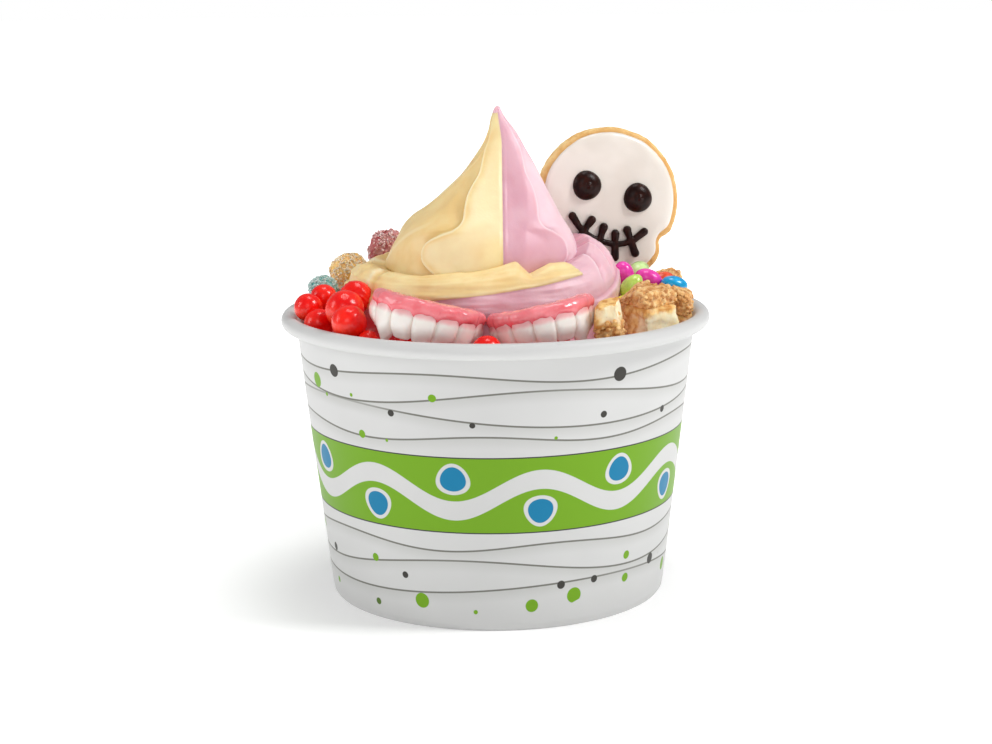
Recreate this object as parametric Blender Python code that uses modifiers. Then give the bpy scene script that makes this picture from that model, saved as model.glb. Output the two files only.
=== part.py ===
"""Frozen yogurt cup: a rolled-rim paper cup heaped with two-flavour soft serve and sweet toppings.

Metres, +Z up. The origin is the centre of the cup's foot, on the table. The front is -Y.
Compass tuples run front, front right, right, back right, back, back left, left, front left.
"""

import math

import bmesh
import bpy
from mathutils import Matrix, Vector

# Paper cup
RIM_RADIUS = 0.048
ROLL_RADIUS = 0.00175
ROLL_HEIGHT = 0.062
FOOT_RADIUS = 0.03765
NECK_RADIUS = 0.04477
PAPER = 0.00045
HEM_HEIGHT = 0.0052
HEM_POCKET = 0.001
DISC_HEIGHT = 0.0058
CUP_STEPS = 36
GAP = 0.0003

# Soft serve: the coil and the shelf round it
FILL_FLOOR = DISC_HEIGHT + PAPER + GAP
FILL_TOP = (0.0570, 0.0572, 0.0585, 0.0590, 0.0590, 0.0595, 0.0590, 0.0575)
SWIRL_AXIS = Vector((0.0018, 0.0010))
SWIRL_STEPS = 48
COIL_REACH = (0.0283, 0.0275, 0.0257, 0.0262, 0.0280, 0.0300, 0.0360, 0.0322)
COIL_TOP = (0.0750, 0.0758, 0.0790, 0.0785, 0.0770, 0.0752, 0.0742, 0.0738)
COIL_WIDTH = (0.0070, 0.0070, 0.0072, 0.0072, 0.0072, 0.0068, 0.0066, 0.0072)
COIL_HEIGHT = (0.0075, 0.0080, 0.0100, 0.0095, 0.0085, 0.0075, 0.0070, 0.0070)
SHELF_HEIGHT = (0.0578, 0.0590, 0.0612, 0.0620, 0.0620, 0.0625, 0.0615, 0.0592)
COIL_ANGLES = (-25, 8, 36, 62, 86)
CREASE_DROP = 0.0008

# Soft serve: the peak, as (height, left radius, right radius) about its own axis
TIP = Vector((0.0009, 0.0010, 0.1088))
PEAK_LEVELS = (
    (0.0730, 0.0262, 0.0152),
    (0.0750, 0.0256, 0.0163),
    (0.0770, 0.0243, 0.0169),
    (0.0795, 0.0238, 0.0160),
    (0.0820, 0.0228, 0.0144),
    (0.0843, 0.0206, 0.0130),
    (0.0870, 0.0161, 0.0116),
    (0.0905, 0.0124, 0.0097),
    (0.0950, 0.0080, 0.0075),
    (0.0995, 0.0048, 0.0052),
    (0.1034, 0.0027, 0.0033),
    (0.1060, 0.0017, 0.0016),
    (0.1088, 0.0004, 0.0004),
)
LEAN_START = 0.100
PEAK_STEPS = (0.07, 0.15, 0.23, 0.31, 0.40, 0.51, 0.65, 0.82, 0.94, 0.995)

# The star nozzle's crests: they run straight down the cone, then swing out and back
CREST_BEARINGS = (37.5, 142.5, 217.5, 322.5)
CREST_HEIGHT = 0.0013
CREST_GROOVE = 0.0007
CREST_SWING = (
    (0.0730, 3),
    (0.0745, 9),
    (0.0760, 15),
    (0.0780, 18),
    (0.0800, 16),
    (0.0815, 10),
    (0.0830, 3),
    (0.0850, -3),
    (0.0880, 0),
)

# Where the yellow flavour meets the pink one
SEAM_BOTTOM = (0.0710, 0.0734, 0.0735, 0.0735, 0.0600, 0.0610, 0.0625, 0.0680)
RIBBON_END = 41
RIBBON_INSIDE = 0.012
FLAVOUR_REACH = 0.060

# Sweet toppings: a place is (x, y, z) of the middle
JELLY_BALLS = (
    ((-0.0309, -0.0284, 0.0653), 0.0036),
    ((-0.0323, -0.0212, 0.0670), 0.0040),
    ((-0.0383, -0.0162, 0.0630), 0.0029),
    ((-0.0410, -0.0108, 0.0658), 0.0030),
    ((-0.0380, -0.0064, 0.0673), 0.0026),
    ((-0.0303, -0.0138, 0.0685), 0.0036),
    ((-0.0268, -0.0312, 0.0618), 0.0023),
    ((0.0010, 0.0402, 0.0655), 0.0036),
    ((0.0078, 0.0395, 0.0660), 0.0031),
    ((0.0046, 0.0352, 0.0714), 0.0031),
    ((-0.0402, 0.0095, 0.0634), 0.0030),
    ((-0.0055, 0.0375, 0.0650), 0.0029),
    ((-0.0018, -0.0378, 0.0607), 0.0031),
    ((-0.0182, -0.0322, 0.0615), 0.0029),
    ((0.0128, -0.0322, 0.0610), 0.0028),
)
SUGARED_GUMMIES = (
    ("teal", (-0.0389, 0.0040, 0.0678), (0.0034, 0.0032, 0.0030), 20),
    ("orange", (-0.0336, 0.0130, 0.0703), (0.0046, 0.0040, 0.0044), 10),
    ("cherry", (-0.0252, 0.0205, 0.0738), (0.0052, 0.0040, 0.0054), -15),
    ("lime", (-0.0225, 0.0335, 0.0672), (0.0046, 0.0040, 0.0042), 50),
    ("lemon", (-0.0130, 0.0370, 0.0690), (0.0045, 0.0042, 0.0044), 5),
    ("rose", (-0.0342, 0.0235, 0.0652), (0.0040, 0.0038, 0.0036), 70),
)
CANDY_HALF_SIZE = (0.0031, 0.0024, 0.0021)
CANDIES = (
    ("magenta_1", (0.0291, 0.0000, 0.0708), (10, -70)),
    ("green_1", (0.0302, -0.0062, 0.0691), (0, 50)),
    ("magenta_2", (0.0343, 0.0000, 0.0699), (-15, -12)),
    ("pale_green", (0.0326, 0.0052, 0.0708), (60, 20)),
    ("orange_1", (0.0376, 0.0042, 0.0686), (10, 20)),
    ("blue_1", (0.0400, -0.0016, 0.0685), (0, -5)),
    ("yellow_1", (0.0285, -0.0093, 0.0655), (-40, 20)),
    ("blue_2", (0.0190, 0.0352, 0.0668), (30, 10)),
    ("orange_2", (0.0245, 0.0330, 0.0668), (-50, 0)),
    ("yellow_2", (0.0217, 0.0338, 0.0712), (75, 12)),
    ("green_2", (0.0140, 0.0385, 0.0662), (100, 0)),
)
CAKE_BITES = (
    # name, place, half size, turn, tilt, share of the height that is crumb, crumb on top
    ("1", (0.0239, -0.0322, 0.0661), (0.0030, 0.0036, 0.0041), -8, 4, 0.36, False),
    ("2", (0.0325, -0.0182, 0.0656), (0.0057, 0.0049, 0.0047), -40, 3, 0.42, True),
    ("3", (0.0410, -0.0076, 0.0647), (0.0024, 0.0033, 0.0034), -12, 0, 0.72, True),
    ("4", (0.0393, 0.0028, 0.0630), (0.0036, 0.0040, 0.0029), 4, 0, 0.40, False),
    ("5", (0.0308, 0.0257, 0.0655), (0.0035, 0.0032, 0.0040), 40, 3, 0.40, False),
    ("6", (0.0390, 0.0118, 0.0654), (0.0030, 0.0033, 0.0040), 18, 0, 0.34, True),
)

# Gummy dentures: place is the arch's centre on the gum's lower face
ARCH_RADIUS = 0.0126
GUM_DEPTH = 0.0048
GUM_HEIGHT = 0.0036
GUM_STEPS = 14
TOOTH_DEPTH = 0.0040
TOOTH_LENGTH = 0.0058
FANG_LENGTH = 0.0072
TOOTH_EDGES = (-80, -60, -36, -12, 12, 36, 60, 80)
DENTURES = (
    # name, place, pitch, tilt, turn, scale
    ("left", (-0.01435, -0.0263, 0.0665), -6, 13.5, -2, 1.0),
    ("right", (0.00975, -0.0266, 0.0656), -5.5, -12.0, 2, 0.94),
)

# Skull cookie, drawn in its own upright plane
COOKIE_PLACE = (0.0252, 0.0209, 0.0857)
COOKIE_ROLL = 16
COOKIE_LEAN = -5
COOKIE_YAW = 13
SKULL_RADIUS = 0.0171
SKULL_CENTRE = Vector((0.0005, -0.0004))
SKULL_ARC = 9
CHEEK_AND_JAW = (
    (0.0164, -0.0046),
    (0.0151, -0.0063),
    (0.0157, -0.0084),
    (0.0156, -0.0106),
    (0.0144, -0.0130),
    (0.0126, -0.0152),
    (0.0114, -0.0178),
    (0.0098, -0.0203),
    (0.0070, -0.0216),
    (0.0030, -0.0220),
)
COOKIE_THICKNESS = 0.0044
ICING_INSET = 0.0010
ICING_THICKNESS = 0.0013
EYE_RADIUS = 0.0034
EYE_PLACES = ((-0.0062, 0.0016), (0.0064, 0.0018))
PIPING_RADIUS = 0.00068
SMILE = (
    (-0.0078, -0.0071),
    (-0.0058, -0.0082),
    (-0.0038, -0.0091),
    (-0.0019, -0.0097),
    (0.0003, -0.0100),
    (0.0035, -0.0100),
    (0.0057, -0.0092),
    (0.0077, -0.0079),
    (0.0095, -0.0056),
)
STITCHES = (
    ((-0.0033, -0.0060), (-0.0052, -0.0110)),
    ((-0.0001, -0.0069), (-0.0003, -0.0118)),
    ((0.0030, -0.0075), (0.0043, -0.0126)),
    ((0.0056, -0.0062), (0.0088, -0.0107)),
)


# ---------------------------------------------------------------- helpers
def clear_scene():
    for obj in list(bpy.data.objects):
        bpy.data.objects.remove(obj)


def new_collection(name):
    collection = bpy.data.collections.new(name)
    bpy.context.scene.collection.children.link(collection)
    return collection


def finish_of(name, colour, roughness, metallic=0.0):
    """A material with one Principled shader."""
    material = bpy.data.materials.new(name)
    material.use_nodes = True
    shader = material.node_tree.nodes["Principled BSDF"]
    shader.inputs["Base Color"].default_value = (*colour, 1.0)
    shader.inputs["Roughness"].default_value = roughness
    shader.inputs["Metallic"].default_value = metallic
    material.diffuse_color = (*colour, 1.0)
    return material


def place(name, data, material, collection):
    obj = bpy.data.objects.new(name, data)
    collection.objects.link(obj)
    obj.data.materials.clear()
    if material is not None:
        obj.data.materials.append(material)
    return obj


def mesh_from(bm, name, smooth_angle=40):
    """Ends a bmesh as a mesh whose faces point out, shaded smooth up to the angle."""
    bmesh.ops.recalc_face_normals(bm, faces=bm.faces)
    mesh = bpy.data.meshes.new(name)
    bm.to_mesh(mesh)
    bm.free()
    mesh.shade_smooth()
    mesh.set_sharp_from_angle(angle=math.radians(smooth_angle))
    return mesh


def as_mesh(obj, name):
    """Bakes a curve, or an object with modifiers, into a welded mesh object with its place in its mesh."""
    bpy.context.view_layer.update()
    graph = bpy.context.evaluated_depsgraph_get()
    mesh = bpy.data.meshes.new_from_object(obj.evaluated_get(graph))
    mesh.transform(obj.matrix_world)
    bm = bmesh.new()
    bm.from_mesh(mesh)
    bmesh.ops.remove_doubles(bm, verts=bm.verts, dist=1e-6)
    bpy.data.meshes.remove(mesh)
    collection = obj.users_collection[0]
    material = obj.data.materials[0] if obj.data.materials else None
    bpy.data.objects.remove(obj)
    return place(name, mesh_from(bm, name), material, collection)


def boolean(obj, operand, operation):
    modifier = obj.modifiers.new(f"{operation} {operand.name}", "BOOLEAN")
    modifier.object = operand
    modifier.operation = operation
    modifier.solver = "EXACT"


def as_cutter(obj):
    obj.hide_render = True
    obj.display_type = "WIRE"
    return obj


def room_for(obj, margin=GAP):
    """A cutter: the object's own shape with each wall moved out by the margin."""
    graph = bpy.context.evaluated_depsgraph_get()
    mesh = bpy.data.meshes.new_from_object(obj.evaluated_get(graph))
    mesh.transform(obj.matrix_world)
    bm = bmesh.new()
    bm.from_mesh(mesh)
    bm.normal_update()
    moves = [vert.normal * margin * vert.calc_shell_factor() for vert in bm.verts]
    for vert, move in zip(bm.verts, moves):
        vert.co += move
    bpy.data.meshes.remove(mesh)
    return as_cutter(place(f"room_for_{obj.name}", mesh_from(bm, obj.name), None, CUTTERS))


def smooth_step(start, end, value):
    share = min(max((value - start) / (end - start), 0.0), 1.0)
    return share * share * (3 - 2 * share)


def around(compass, degrees):
    """Reads a compass tuple in any direction, through a smooth closed curve."""
    count = len(compass)
    place_on_ring = (degrees % 360) / 360 * count
    index = int(place_on_ring)
    share = place_on_ring - index
    before, here, after, beyond = (compass[(index + k) % count] for k in (-1, 0, 1, 2))
    return 0.5 * (
        2 * here
        + (after - before) * share
        + (2 * before - 5 * here + 4 * after - beyond) * share**2
        + (3 * here - before - 3 * after + beyond) * share**3
    )


def direction(degrees):
    """The unit vector on the table for a compass bearing: 0 is the front, 90 the right."""
    angle = math.radians(degrees)
    return Vector((math.sin(angle), -math.cos(angle)))


def lathe(name, profile, material, steps=CUP_STEPS, closed=True):
    """Turns a profile of (radius, height) points about the Z axis."""
    mesh = bpy.data.meshes.new(name)
    count = len(profile)
    edges = [(k, (k + 1) % count) for k in range(count if closed else count - 1)]
    mesh.from_pydata([(r, 0, z) for r, z in profile], edges, [])
    obj = place(name, mesh, material, PARTS)
    screw = obj.modifiers.new("Screw", "SCREW")
    screw.steps = steps
    screw.render_steps = steps
    screw.use_merge_vertices = True
    screw.merge_threshold = 1e-6
    screw.use_normal_calculate = True
    return obj


def loft(rings, name):
    """Skins rings of equal length into one closed mesh, with a fan over the first and last."""
    bm = bmesh.new()
    rows = [[bm.verts.new(point) for point in ring] for ring in rings]
    for low, high in zip(rows, rows[1:]):
        for k in range(len(low)):
            after = (k + 1) % len(low)
            bm.faces.new((low[k], low[after], high[after], high[k]))
    for row in (rows[0], rows[-1]):
        middle = bm.verts.new(sum((v.co for v in row), Vector()) / len(row))
        for k in range(len(row)):
            bm.faces.new((row[k], row[(k + 1) % len(row)], middle))
    bmesh.ops.triangulate(bm, faces=bm.faces)
    return mesh_from(bm, name)


# ---------------------------------------------------------------- paper cup
def wall_radius(height):
    """Outer radius of the cup's side at a height."""
    return FOOT_RADIUS + (NECK_RADIUS - FOOT_RADIUS) * height / ROLL_HEIGHT


def build_cup_wall():
    """The side: its rolled rim, the tapered wall and the hem turned up inside the foot."""
    roll_centre = RIM_RADIUS - ROLL_RADIUS
    profile = []
    for degrees in range(160, -161, -40):
        angle = math.radians(degrees)
        radius = roll_centre + ROLL_RADIUS * math.cos(angle)
        profile.append((radius, ROLL_HEIGHT + ROLL_RADIUS * math.sin(angle)))
    neck_height = ROLL_HEIGHT - ROLL_RADIUS * math.sin(math.radians(30))
    profile[-1] = (wall_radius(neck_height), neck_height)
    hem_inside = PAPER + HEM_POCKET + PAPER
    profile += [
        (FOOT_RADIUS, 0),
        (FOOT_RADIUS - hem_inside, 0),
        (wall_radius(HEM_HEIGHT) - hem_inside, HEM_HEIGHT),
        (wall_radius(HEM_HEIGHT) - hem_inside + PAPER, HEM_HEIGHT),
        (FOOT_RADIUS - PAPER - HEM_POCKET, PAPER),
        (FOOT_RADIUS - PAPER, PAPER),
        (wall_radius(ROLL_HEIGHT) - PAPER, ROLL_HEIGHT - 0.001),
    ]
    return lathe("cup_wall", profile, PAPER_WHITE)


def build_cup_bottom():
    """The raised floor disc, whose skirt hangs in the hem's pocket."""
    skirt_foot = PAPER + GAP
    middle = PAPER + HEM_POCKET / 2
    half = HEM_POCKET / 2 - GAP
    top = DISC_HEIGHT + PAPER
    profile = [
        (0, top),
        (wall_radius(top) - middle + half - PAPER, top),
        (wall_radius(DISC_HEIGHT) - middle + half, DISC_HEIGHT),
        (FOOT_RADIUS - middle + half, skirt_foot),
        (FOOT_RADIUS - middle - half, skirt_foot),
        (wall_radius(DISC_HEIGHT) - middle - half, DISC_HEIGHT),
        (0, DISC_HEIGHT),
    ]
    return lathe("cup_bottom", profile, PAPER_WHITE, closed=False)


# ---------------------------------------------------------------- soft serve
def table_at(table, height):
    """Reads a table of (height, value...) rows, straight between them."""
    height = min(max(height, table[0][0]), table[-1][0])
    for low, high in zip(table, table[1:]):
        if height <= high[0]:
            share = (height - low[0]) / (high[0] - low[0])
            return [a + (b - a) * share for a, b in zip(low[1:], high[1:])]
    return list(table[-1][1:])


def crest_away(column):
    """Signed degrees from the nearest crest, minus on its groove's side."""
    offsets = [(column - crest + 180) % 360 - 180 for crest in CREST_BEARINGS]
    away = min(offsets, key=abs)
    return away if column < 90 or 180 < column < 270 else -away


def crest_at(column, height):
    """How far the peak stands out or in beside a crest."""
    away = crest_away(column)
    fade = smooth_step(0.0, 0.014, TIP.z - height)
    if away < 0:
        return fade * (-CREST_GROOVE if away > -12 else 0)
    return fade * CREST_HEIGHT * max(0.0, 1 - away / 12)


def swing_at(column, height):
    """How far a column of the peak is turned, so that the crests stay on one column each."""
    side = 1 if column < 180 else -1
    from_seam = min(column % 180, 180 - column % 180)
    weight = min(from_seam / 37.5, (90 - from_seam) / 52.5)
    facing = 1 if column < 90 or column > 270 else -1
    return table_at(CREST_SWING, height)[0] * weight * side * facing


def peak_radius(column, height):
    """Radius of the pulled-up peak about its own axis."""
    left, right = table_at(PEAK_LEVELS, height)
    share = 0.5 + 0.5 * math.sin(math.radians(column))
    return left + (right - left) * share + crest_at(column, height)


def coil_point(degrees, angle):
    """(radius, height) on the lower coil, from its outer foot (-90) over the top (90)."""
    width, rise = around(COIL_WIDTH, degrees), around(COIL_HEIGHT, degrees)
    middle = around(COIL_REACH, degrees) - width
    height = around(COIL_TOP, degrees) - rise
    turn = math.radians(angle)
    return middle + width * math.cos(turn), height + rise * math.sin(turn)


def swirl_rings():
    """The whole soft serve as rings, from the cup's floor to the tip."""
    columns = [360 * k / SWIRL_STEPS for k in range(SWIRL_STEPS)]

    def ring(centre, place_of):
        points = []
        for column in columns:
            degrees, radius, height = place_of(column)
            spot = centre(height) + direction(degrees) * radius
            points.append((spot.x, spot.y, height))
        return points

    def cup_centre(_height):
        return Vector((0, 0))

    def swirl_centre(height):
        return SWIRL_AXIS.lerp(TIP.to_2d(), smooth_step(LEAN_START, TIP.z, height))

    def crease(degrees):
        radius, height = coil_point(degrees, COIL_ANGLES[-1])
        height -= CREASE_DROP
        return min(radius - 0.0007, peak_radius(degrees, height) - 0.0004), height

    def fill_edge(column):
        height = around(FILL_TOP, column)
        return column, wall_radius(height) - inside, height

    inside = PAPER + GAP
    rings = [
        ring(cup_centre, lambda c: (c, wall_radius(FILL_FLOOR) - inside, FILL_FLOOR)),
        ring(cup_centre, fill_edge),
        ring(swirl_centre, lambda c: (c, around(COIL_REACH, c) + 0.0012, around(SHELF_HEIGHT, c))),
    ]
    for angle in COIL_ANGLES:
        rings.append(ring(swirl_centre, lambda c, a=angle: (c, *coil_point(c, a))))
    rings.append(ring(swirl_centre, lambda c: (c, *crease(c))))
    for share in PEAK_STEPS:

        def on_peak(column, share=share):
            foot = crease(column)[1]
            height = foot + (TIP.z - foot) * share
            turned = column + swing_at(column, height)
            return turned, peak_radius(column, height), height

        rings.append(ring(swirl_centre, on_peak))
    return rings


def flavour_wedge(name, start, end, bottom, top, inner):
    """A sector round the swirl's axis, used to part the flavours; with inner 0 it comes to a point."""
    count = round((end - start) / 7)
    bm = bmesh.new()
    columns = []
    for k in range(count + 1):
        degrees = start + (end - start) * k / count
        column = []
        for radius in (inner, FLAVOUR_REACH):
            spot = SWIRL_AXIS + direction(degrees) * radius
            where = degrees if radius else start
            column += [(spot.x, spot.y, bottom(where)), (spot.x, spot.y, top(where))]
        columns.append(column)
    if inner:
        rows = [[bm.verts.new(point) for point in column] for column in columns]
    else:
        axis = [bm.verts.new(point) for point in columns[0][:2]]
        rows = [axis + [bm.verts.new(point) for point in column[2:]] for column in columns]
    for here, after in zip(rows, rows[1:]):
        corners = [(0, 2), (1, 3), (2, 3)] + ([(0, 1)] if inner else [])
        for a, b in corners:
            ring = [here[a], here[b], after[b], after[a]]
            bm.faces.new(list(dict.fromkeys(ring)))
    for here in (rows[0], rows[-1]):
        bm.faces.new((here[0], here[2], here[3], here[1]))
    bmesh.ops.triangulate(bm, faces=bm.faces)
    return as_cutter(place(name, mesh_from(bm, name), None, CUTTERS))


def flavour_region(name, margin):
    """The space of the yellow flavour: the left half of the swirl, and a ribbon across the front."""

    def seam(degrees):
        return around(SEAM_BOTTOM, degrees) - margin

    def ribbon_top(degrees):
        return coil_point(degrees, COIL_ANGLES[-1])[1] - CREASE_DROP + margin

    spread = math.degrees(margin / 0.02)
    half = flavour_wedge(name, -180 - spread, spread, seam, lambda _d: TIP.z + 0.01, 0)
    ribbon = flavour_wedge(
        f"{name}_ribbon", -24, RIBBON_END + spread, seam, ribbon_top, RIBBON_INSIDE - margin
    )
    boolean(half, ribbon, "UNION")
    return as_cutter(as_mesh(half, name))


def build_soft_serve(hollows):
    """Both flavours, parted along the seam and dented where the toppings sit in them."""
    body = loft(swirl_rings(), "soft_serve")
    pink = place("yogurt_pink", body, PINK, PARTS)
    yellow = place("yogurt_yellow", body.copy(), YELLOW, PARTS)
    boolean(yellow, flavour_region("yellow_space", 0.0), "INTERSECT")
    boolean(pink, flavour_region("space_round_yellow", GAP), "DIFFERENCE")
    for hollow in hollows:
        for flavour in (pink, yellow):
            boolean(flavour, hollow, "DIFFERENCE")


# ---------------------------------------------------------------- small sweets
def ellipsoid(name, half_size, material, segments=10, rings=6):
    bm = bmesh.new()
    bmesh.ops.create_uvsphere(bm, u_segments=segments, v_segments=rings, radius=1)
    bmesh.ops.scale(bm, vec=half_size, verts=bm.verts)
    return place(name, mesh_from(bm, name, 180), material, PARTS)


def build_jelly_balls():
    balls = []
    for number, (spot, radius) in enumerate(JELLY_BALLS, 1):
        ball = ellipsoid(f"jelly_ball_{number}", (radius,) * 3, JELLY_RED)
        ball.location = spot
        balls.append(ball)
    return balls


def build_sugared_gummies():
    """Lumpy drops: a coarse sphere pushed in and out by slow waves."""
    made = []
    for number, (tint, spot, half_size, turn) in enumerate(SUGARED_GUMMIES, 1):
        gummy = ellipsoid(f"sugared_gummy_{tint}", half_size, GUMMY_FINISHES[tint])
        for vert in gummy.data.vertices:
            wave = math.sin(900 * vert.co.x + number) * math.cos(800 * vert.co.z + 2 * number)
            vert.co *= 1 + 0.05 * wave
        gummy.location = spot
        gummy.rotation_euler.z = math.radians(turn)
        made.append(gummy)
    return made


def build_candies():
    made = []
    for tint, spot, (turn, pitch) in CANDIES:
        finish = CANDY_FINISHES[tint.rsplit("_", 1)[0] if tint[-1].isdigit() else tint]
        candy = ellipsoid(f"candy_{tint}", CANDY_HALF_SIZE, finish, 9, 6)
        candy.location = spot
        candy.rotation_euler = (0, math.radians(-pitch), math.radians(turn))
        made.append(candy)
    return made


def layer_block(name, half_size, low, high, material, carrier):
    """One layer of a cake bite: a block with worn edges between two shares of the bite's height."""
    bm = bmesh.new()
    bmesh.ops.create_cube(bm, size=2)
    thickness = (high - low) / 2
    bmesh.ops.scale(bm, vec=(half_size[0], half_size[1], thickness), verts=bm.verts)
    bmesh.ops.translate(bm, vec=(0, 0, (high + low) / 2), verts=bm.verts)
    bmesh.ops.bevel(
        bm, geom=bm.edges[:], offset=0.16 * min(*half_size, thickness * 2), affect="EDGES",
        segments=1, profile=0.5, material=-1,
    )
    for vert in bm.verts:
        sway = math.sin(700 * vert.co.x + 410 * vert.co.y) * math.cos(650 * vert.co.z)
        vert.co.xy *= 1 + 0.05 * sway
    layer = place(name, mesh_from(bm, name, 30), material, PARTS)
    layer.parent = carrier
    return layer


def build_cake_bites():
    """Each bite is a layer of cream cake and a layer of crumb, on one empty that turns them."""
    made = []
    for number, spot, half_size, turn, tilt, crumb_share, crumb_on_top in CAKE_BITES:
        carrier = bpy.data.objects.new(f"cake_bite_{number}", None)
        PARTS.objects.link(carrier)
        carrier.location = spot
        carrier.rotation_euler = (math.radians(tilt), 0, math.radians(turn))
        bottom, top = -half_size[2], half_size[2]
        if crumb_on_top:
            split = top - 2 * half_size[2] * crumb_share
            layers = (("cream", bottom, split - GAP / 2), ("crumb", split + GAP / 2, top))
        else:
            split = bottom + 2 * half_size[2] * crumb_share
            layers = (("crumb", bottom, split - GAP / 2), ("cream", split + GAP / 2, top))
        for kind, low, high in layers:
            finish = CRUMB if kind == "crumb" else CREAM
            made.append(
                layer_block(f"cake_{kind}_{number}", half_size, low, high, finish, carrier)
            )
    return made


# ---------------------------------------------------------------- gummy dentures
def tooth_shape(degrees):
    """(length, bulge) of the teeth at a bearing on the arch: each tooth rounds off at its sides."""
    for left, right in zip(TOOTH_EDGES, TOOTH_EDGES[1:]):
        if left <= degrees <= right:
            across = (degrees - (left + right) / 2) / ((right - left) / 2)
            middle = abs(left + right) / 2
            if 36 < middle < 60:
                return FANG_LENGTH * (1 - 0.42 * abs(across) ** 1.4), 1 - across**2
            length = TOOTH_LENGTH * (0.8 if middle > 60 else 1.0)
            return length * (1 - 0.16 * across**4), 1 - across**2
    raise ValueError(degrees)


def arch_bearings():
    """Bearings along the arch: each tooth's edges, and three inside it."""
    bearings = [TOOTH_EDGES[0] + 0.4]
    for left, right in zip(TOOTH_EDGES, TOOTH_EDGES[1:]):
        bearings += [left + (right - left) * share for share in (0.16, 0.5, 0.84)]
        bearings.append(right - (0.4 if right == TOOTH_EDGES[-1] else 0.0))
    return bearings


def arch_loft(name, section, bearings):
    """Sweeps a section of (radius, height) points along the arch."""
    rings = []
    for degrees in bearings:
        across = direction(degrees)
        rings.append([(across.x * r, across.y * r, z) for r, z in section(degrees)])
    return loft(rings, name)


def gum_section(degrees):
    """A rounded band that thins towards the ends of the arch."""
    thin = 1 - 0.25 * smooth_step(60, 80, abs(degrees))
    middle = ARCH_RADIUS - GUM_DEPTH / 2
    points = []
    for k in range(8):
        turn = math.radians(22.5 + 45 * k)
        radius = middle + GUM_DEPTH / 2 * thin * math.copysign(abs(math.cos(turn)) ** 0.7, math.cos(turn))
        height = GUM_HEIGHT * thin * (0.5 + 0.5 * math.copysign(abs(math.sin(turn)) ** 0.7, math.sin(turn)))
        points.append((radius, height))
    return points


def teeth_section(degrees):
    """The row of teeth under the gum, thinner towards the biting edge."""
    length, bulge = tooth_shape(degrees)
    face = ARCH_RADIUS - 0.0007 + 0.0007 * bulge
    back = ARCH_RADIUS - TOOTH_DEPTH
    top = -GAP
    return [
        (back, top),
        (face - 0.0002, top),
        (face, top - 0.4 * length),
        (face - 0.0004, top - 0.85 * length),
        (face - 0.0014, top - length),
        (back + 0.0006, top - 0.9 * length),
    ]


def build_dentures():
    made = []
    for side, spot, pitch, tilt, turn, scale in DENTURES:
        carrier = bpy.data.objects.new(f"denture_{side}", None)
        PARTS.objects.link(carrier)
        carrier.location = spot
        carrier.rotation_euler = [math.radians(angle) for angle in (pitch, tilt, turn)]
        carrier.scale = (scale,) * 3
        span = TOOTH_EDGES[-1] - TOOTH_EDGES[0]
        stations = [TOOTH_EDGES[0] + span * k / GUM_STEPS for k in range(GUM_STEPS + 1)]
        gum = place(f"gum_{side}", arch_loft("gum", gum_section, stations), GUM_PINK, PARTS)
        teeth_mesh = arch_loft("teeth", teeth_section, arch_bearings())
        teeth = place(f"teeth_{side}", teeth_mesh, TOOTH_WHITE, PARTS)
        for piece in (gum, teeth):
            piece.parent = carrier
            made.append(piece)
    return made


# ---------------------------------------------------------------- skull cookie
def skull_outline(inset):
    """The cookie's outline: a round head that runs by a notch at each side into cheeks and a jaw."""
    points = []
    for k in range(19):
        angle = math.radians(-SKULL_ARC + (180 + 2 * SKULL_ARC) * k / 18)
        points.append(SKULL_CENTRE + SKULL_RADIUS * Vector((math.cos(angle), math.sin(angle))))
    points += [Vector((-x, y)) for x, y in CHEEK_AND_JAW]
    points += [Vector(point) for point in reversed(CHEEK_AND_JAW)]
    moved = []
    for k, point in enumerate(points):
        along = points[(k + 1) % len(points)] - points[k - 1]
        moved.append(point + Vector((-along.y, along.x)).normalized() * inset)
    return moved


def flat_outline(name, points, thickness, material, carrier):
    """A filled outline with rounded rims, in the cookie's plane, its back face at y = 0."""
    curve = bpy.data.curves.new(name, "CURVE")
    curve.dimensions = "2D"
    curve.fill_mode = "BOTH"
    curve.extrude = thickness / 2
    spline = curve.splines.new("POLY")
    spline.points.add(len(points) - 1)
    for target, (x, y) in zip(spline.points, points):
        target.co = (x, y, 0, 1)
    spline.use_cyclic_u = True
    flat = as_mesh(place(name, curve, material, PARTS), name)
    bevel = flat.modifiers.new("Rounded rim", "BEVEL")
    bevel.width = 0.22 * thickness
    bevel.segments = 1
    bevel.limit_method = "ANGLE"
    bevel.angle_limit = math.radians(50)
    flat.data.transform(Matrix.Rotation(math.radians(90), 4, "X"))
    flat.data.transform(Matrix.Translation((0, -thickness / 2, 0)))
    flat.parent = carrier
    return flat


def piped_line(name, points):
    """A round bead of chocolate along a few points."""
    curve = bpy.data.curves.new(name, "CURVE")
    curve.dimensions = "3D"
    curve.bevel_depth = PIPING_RADIUS
    curve.bevel_resolution = 1
    curve.use_fill_caps = True
    spline = curve.splines.new("POLY")
    spline.points.add(len(points) - 1)
    for target, (x, z) in zip(spline.points, points):
        target.co = (x, 0, z, 1)
    return as_mesh(place(name, curve, CHOCOLATE, CUTTERS), name)


def build_mouth(carrier, front):
    """A smile crossed by stitches, all one bead."""
    smile = piped_line("cookie_mouth", SMILE)
    CUTTERS.objects.unlink(smile)
    PARTS.objects.link(smile)
    for number, ends in enumerate(STITCHES):
        stitch = as_cutter(piped_line(f"stitch_{number}", ends))
        stitch.data.transform(Matrix.Translation((0, -0.00013, 0)))
        boolean(smile, stitch, "UNION")
    smile = as_mesh(smile, "cookie_mouth")
    smile.location.y = front - PIPING_RADIUS - 0.0001
    smile.parent = carrier
    return smile


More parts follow.
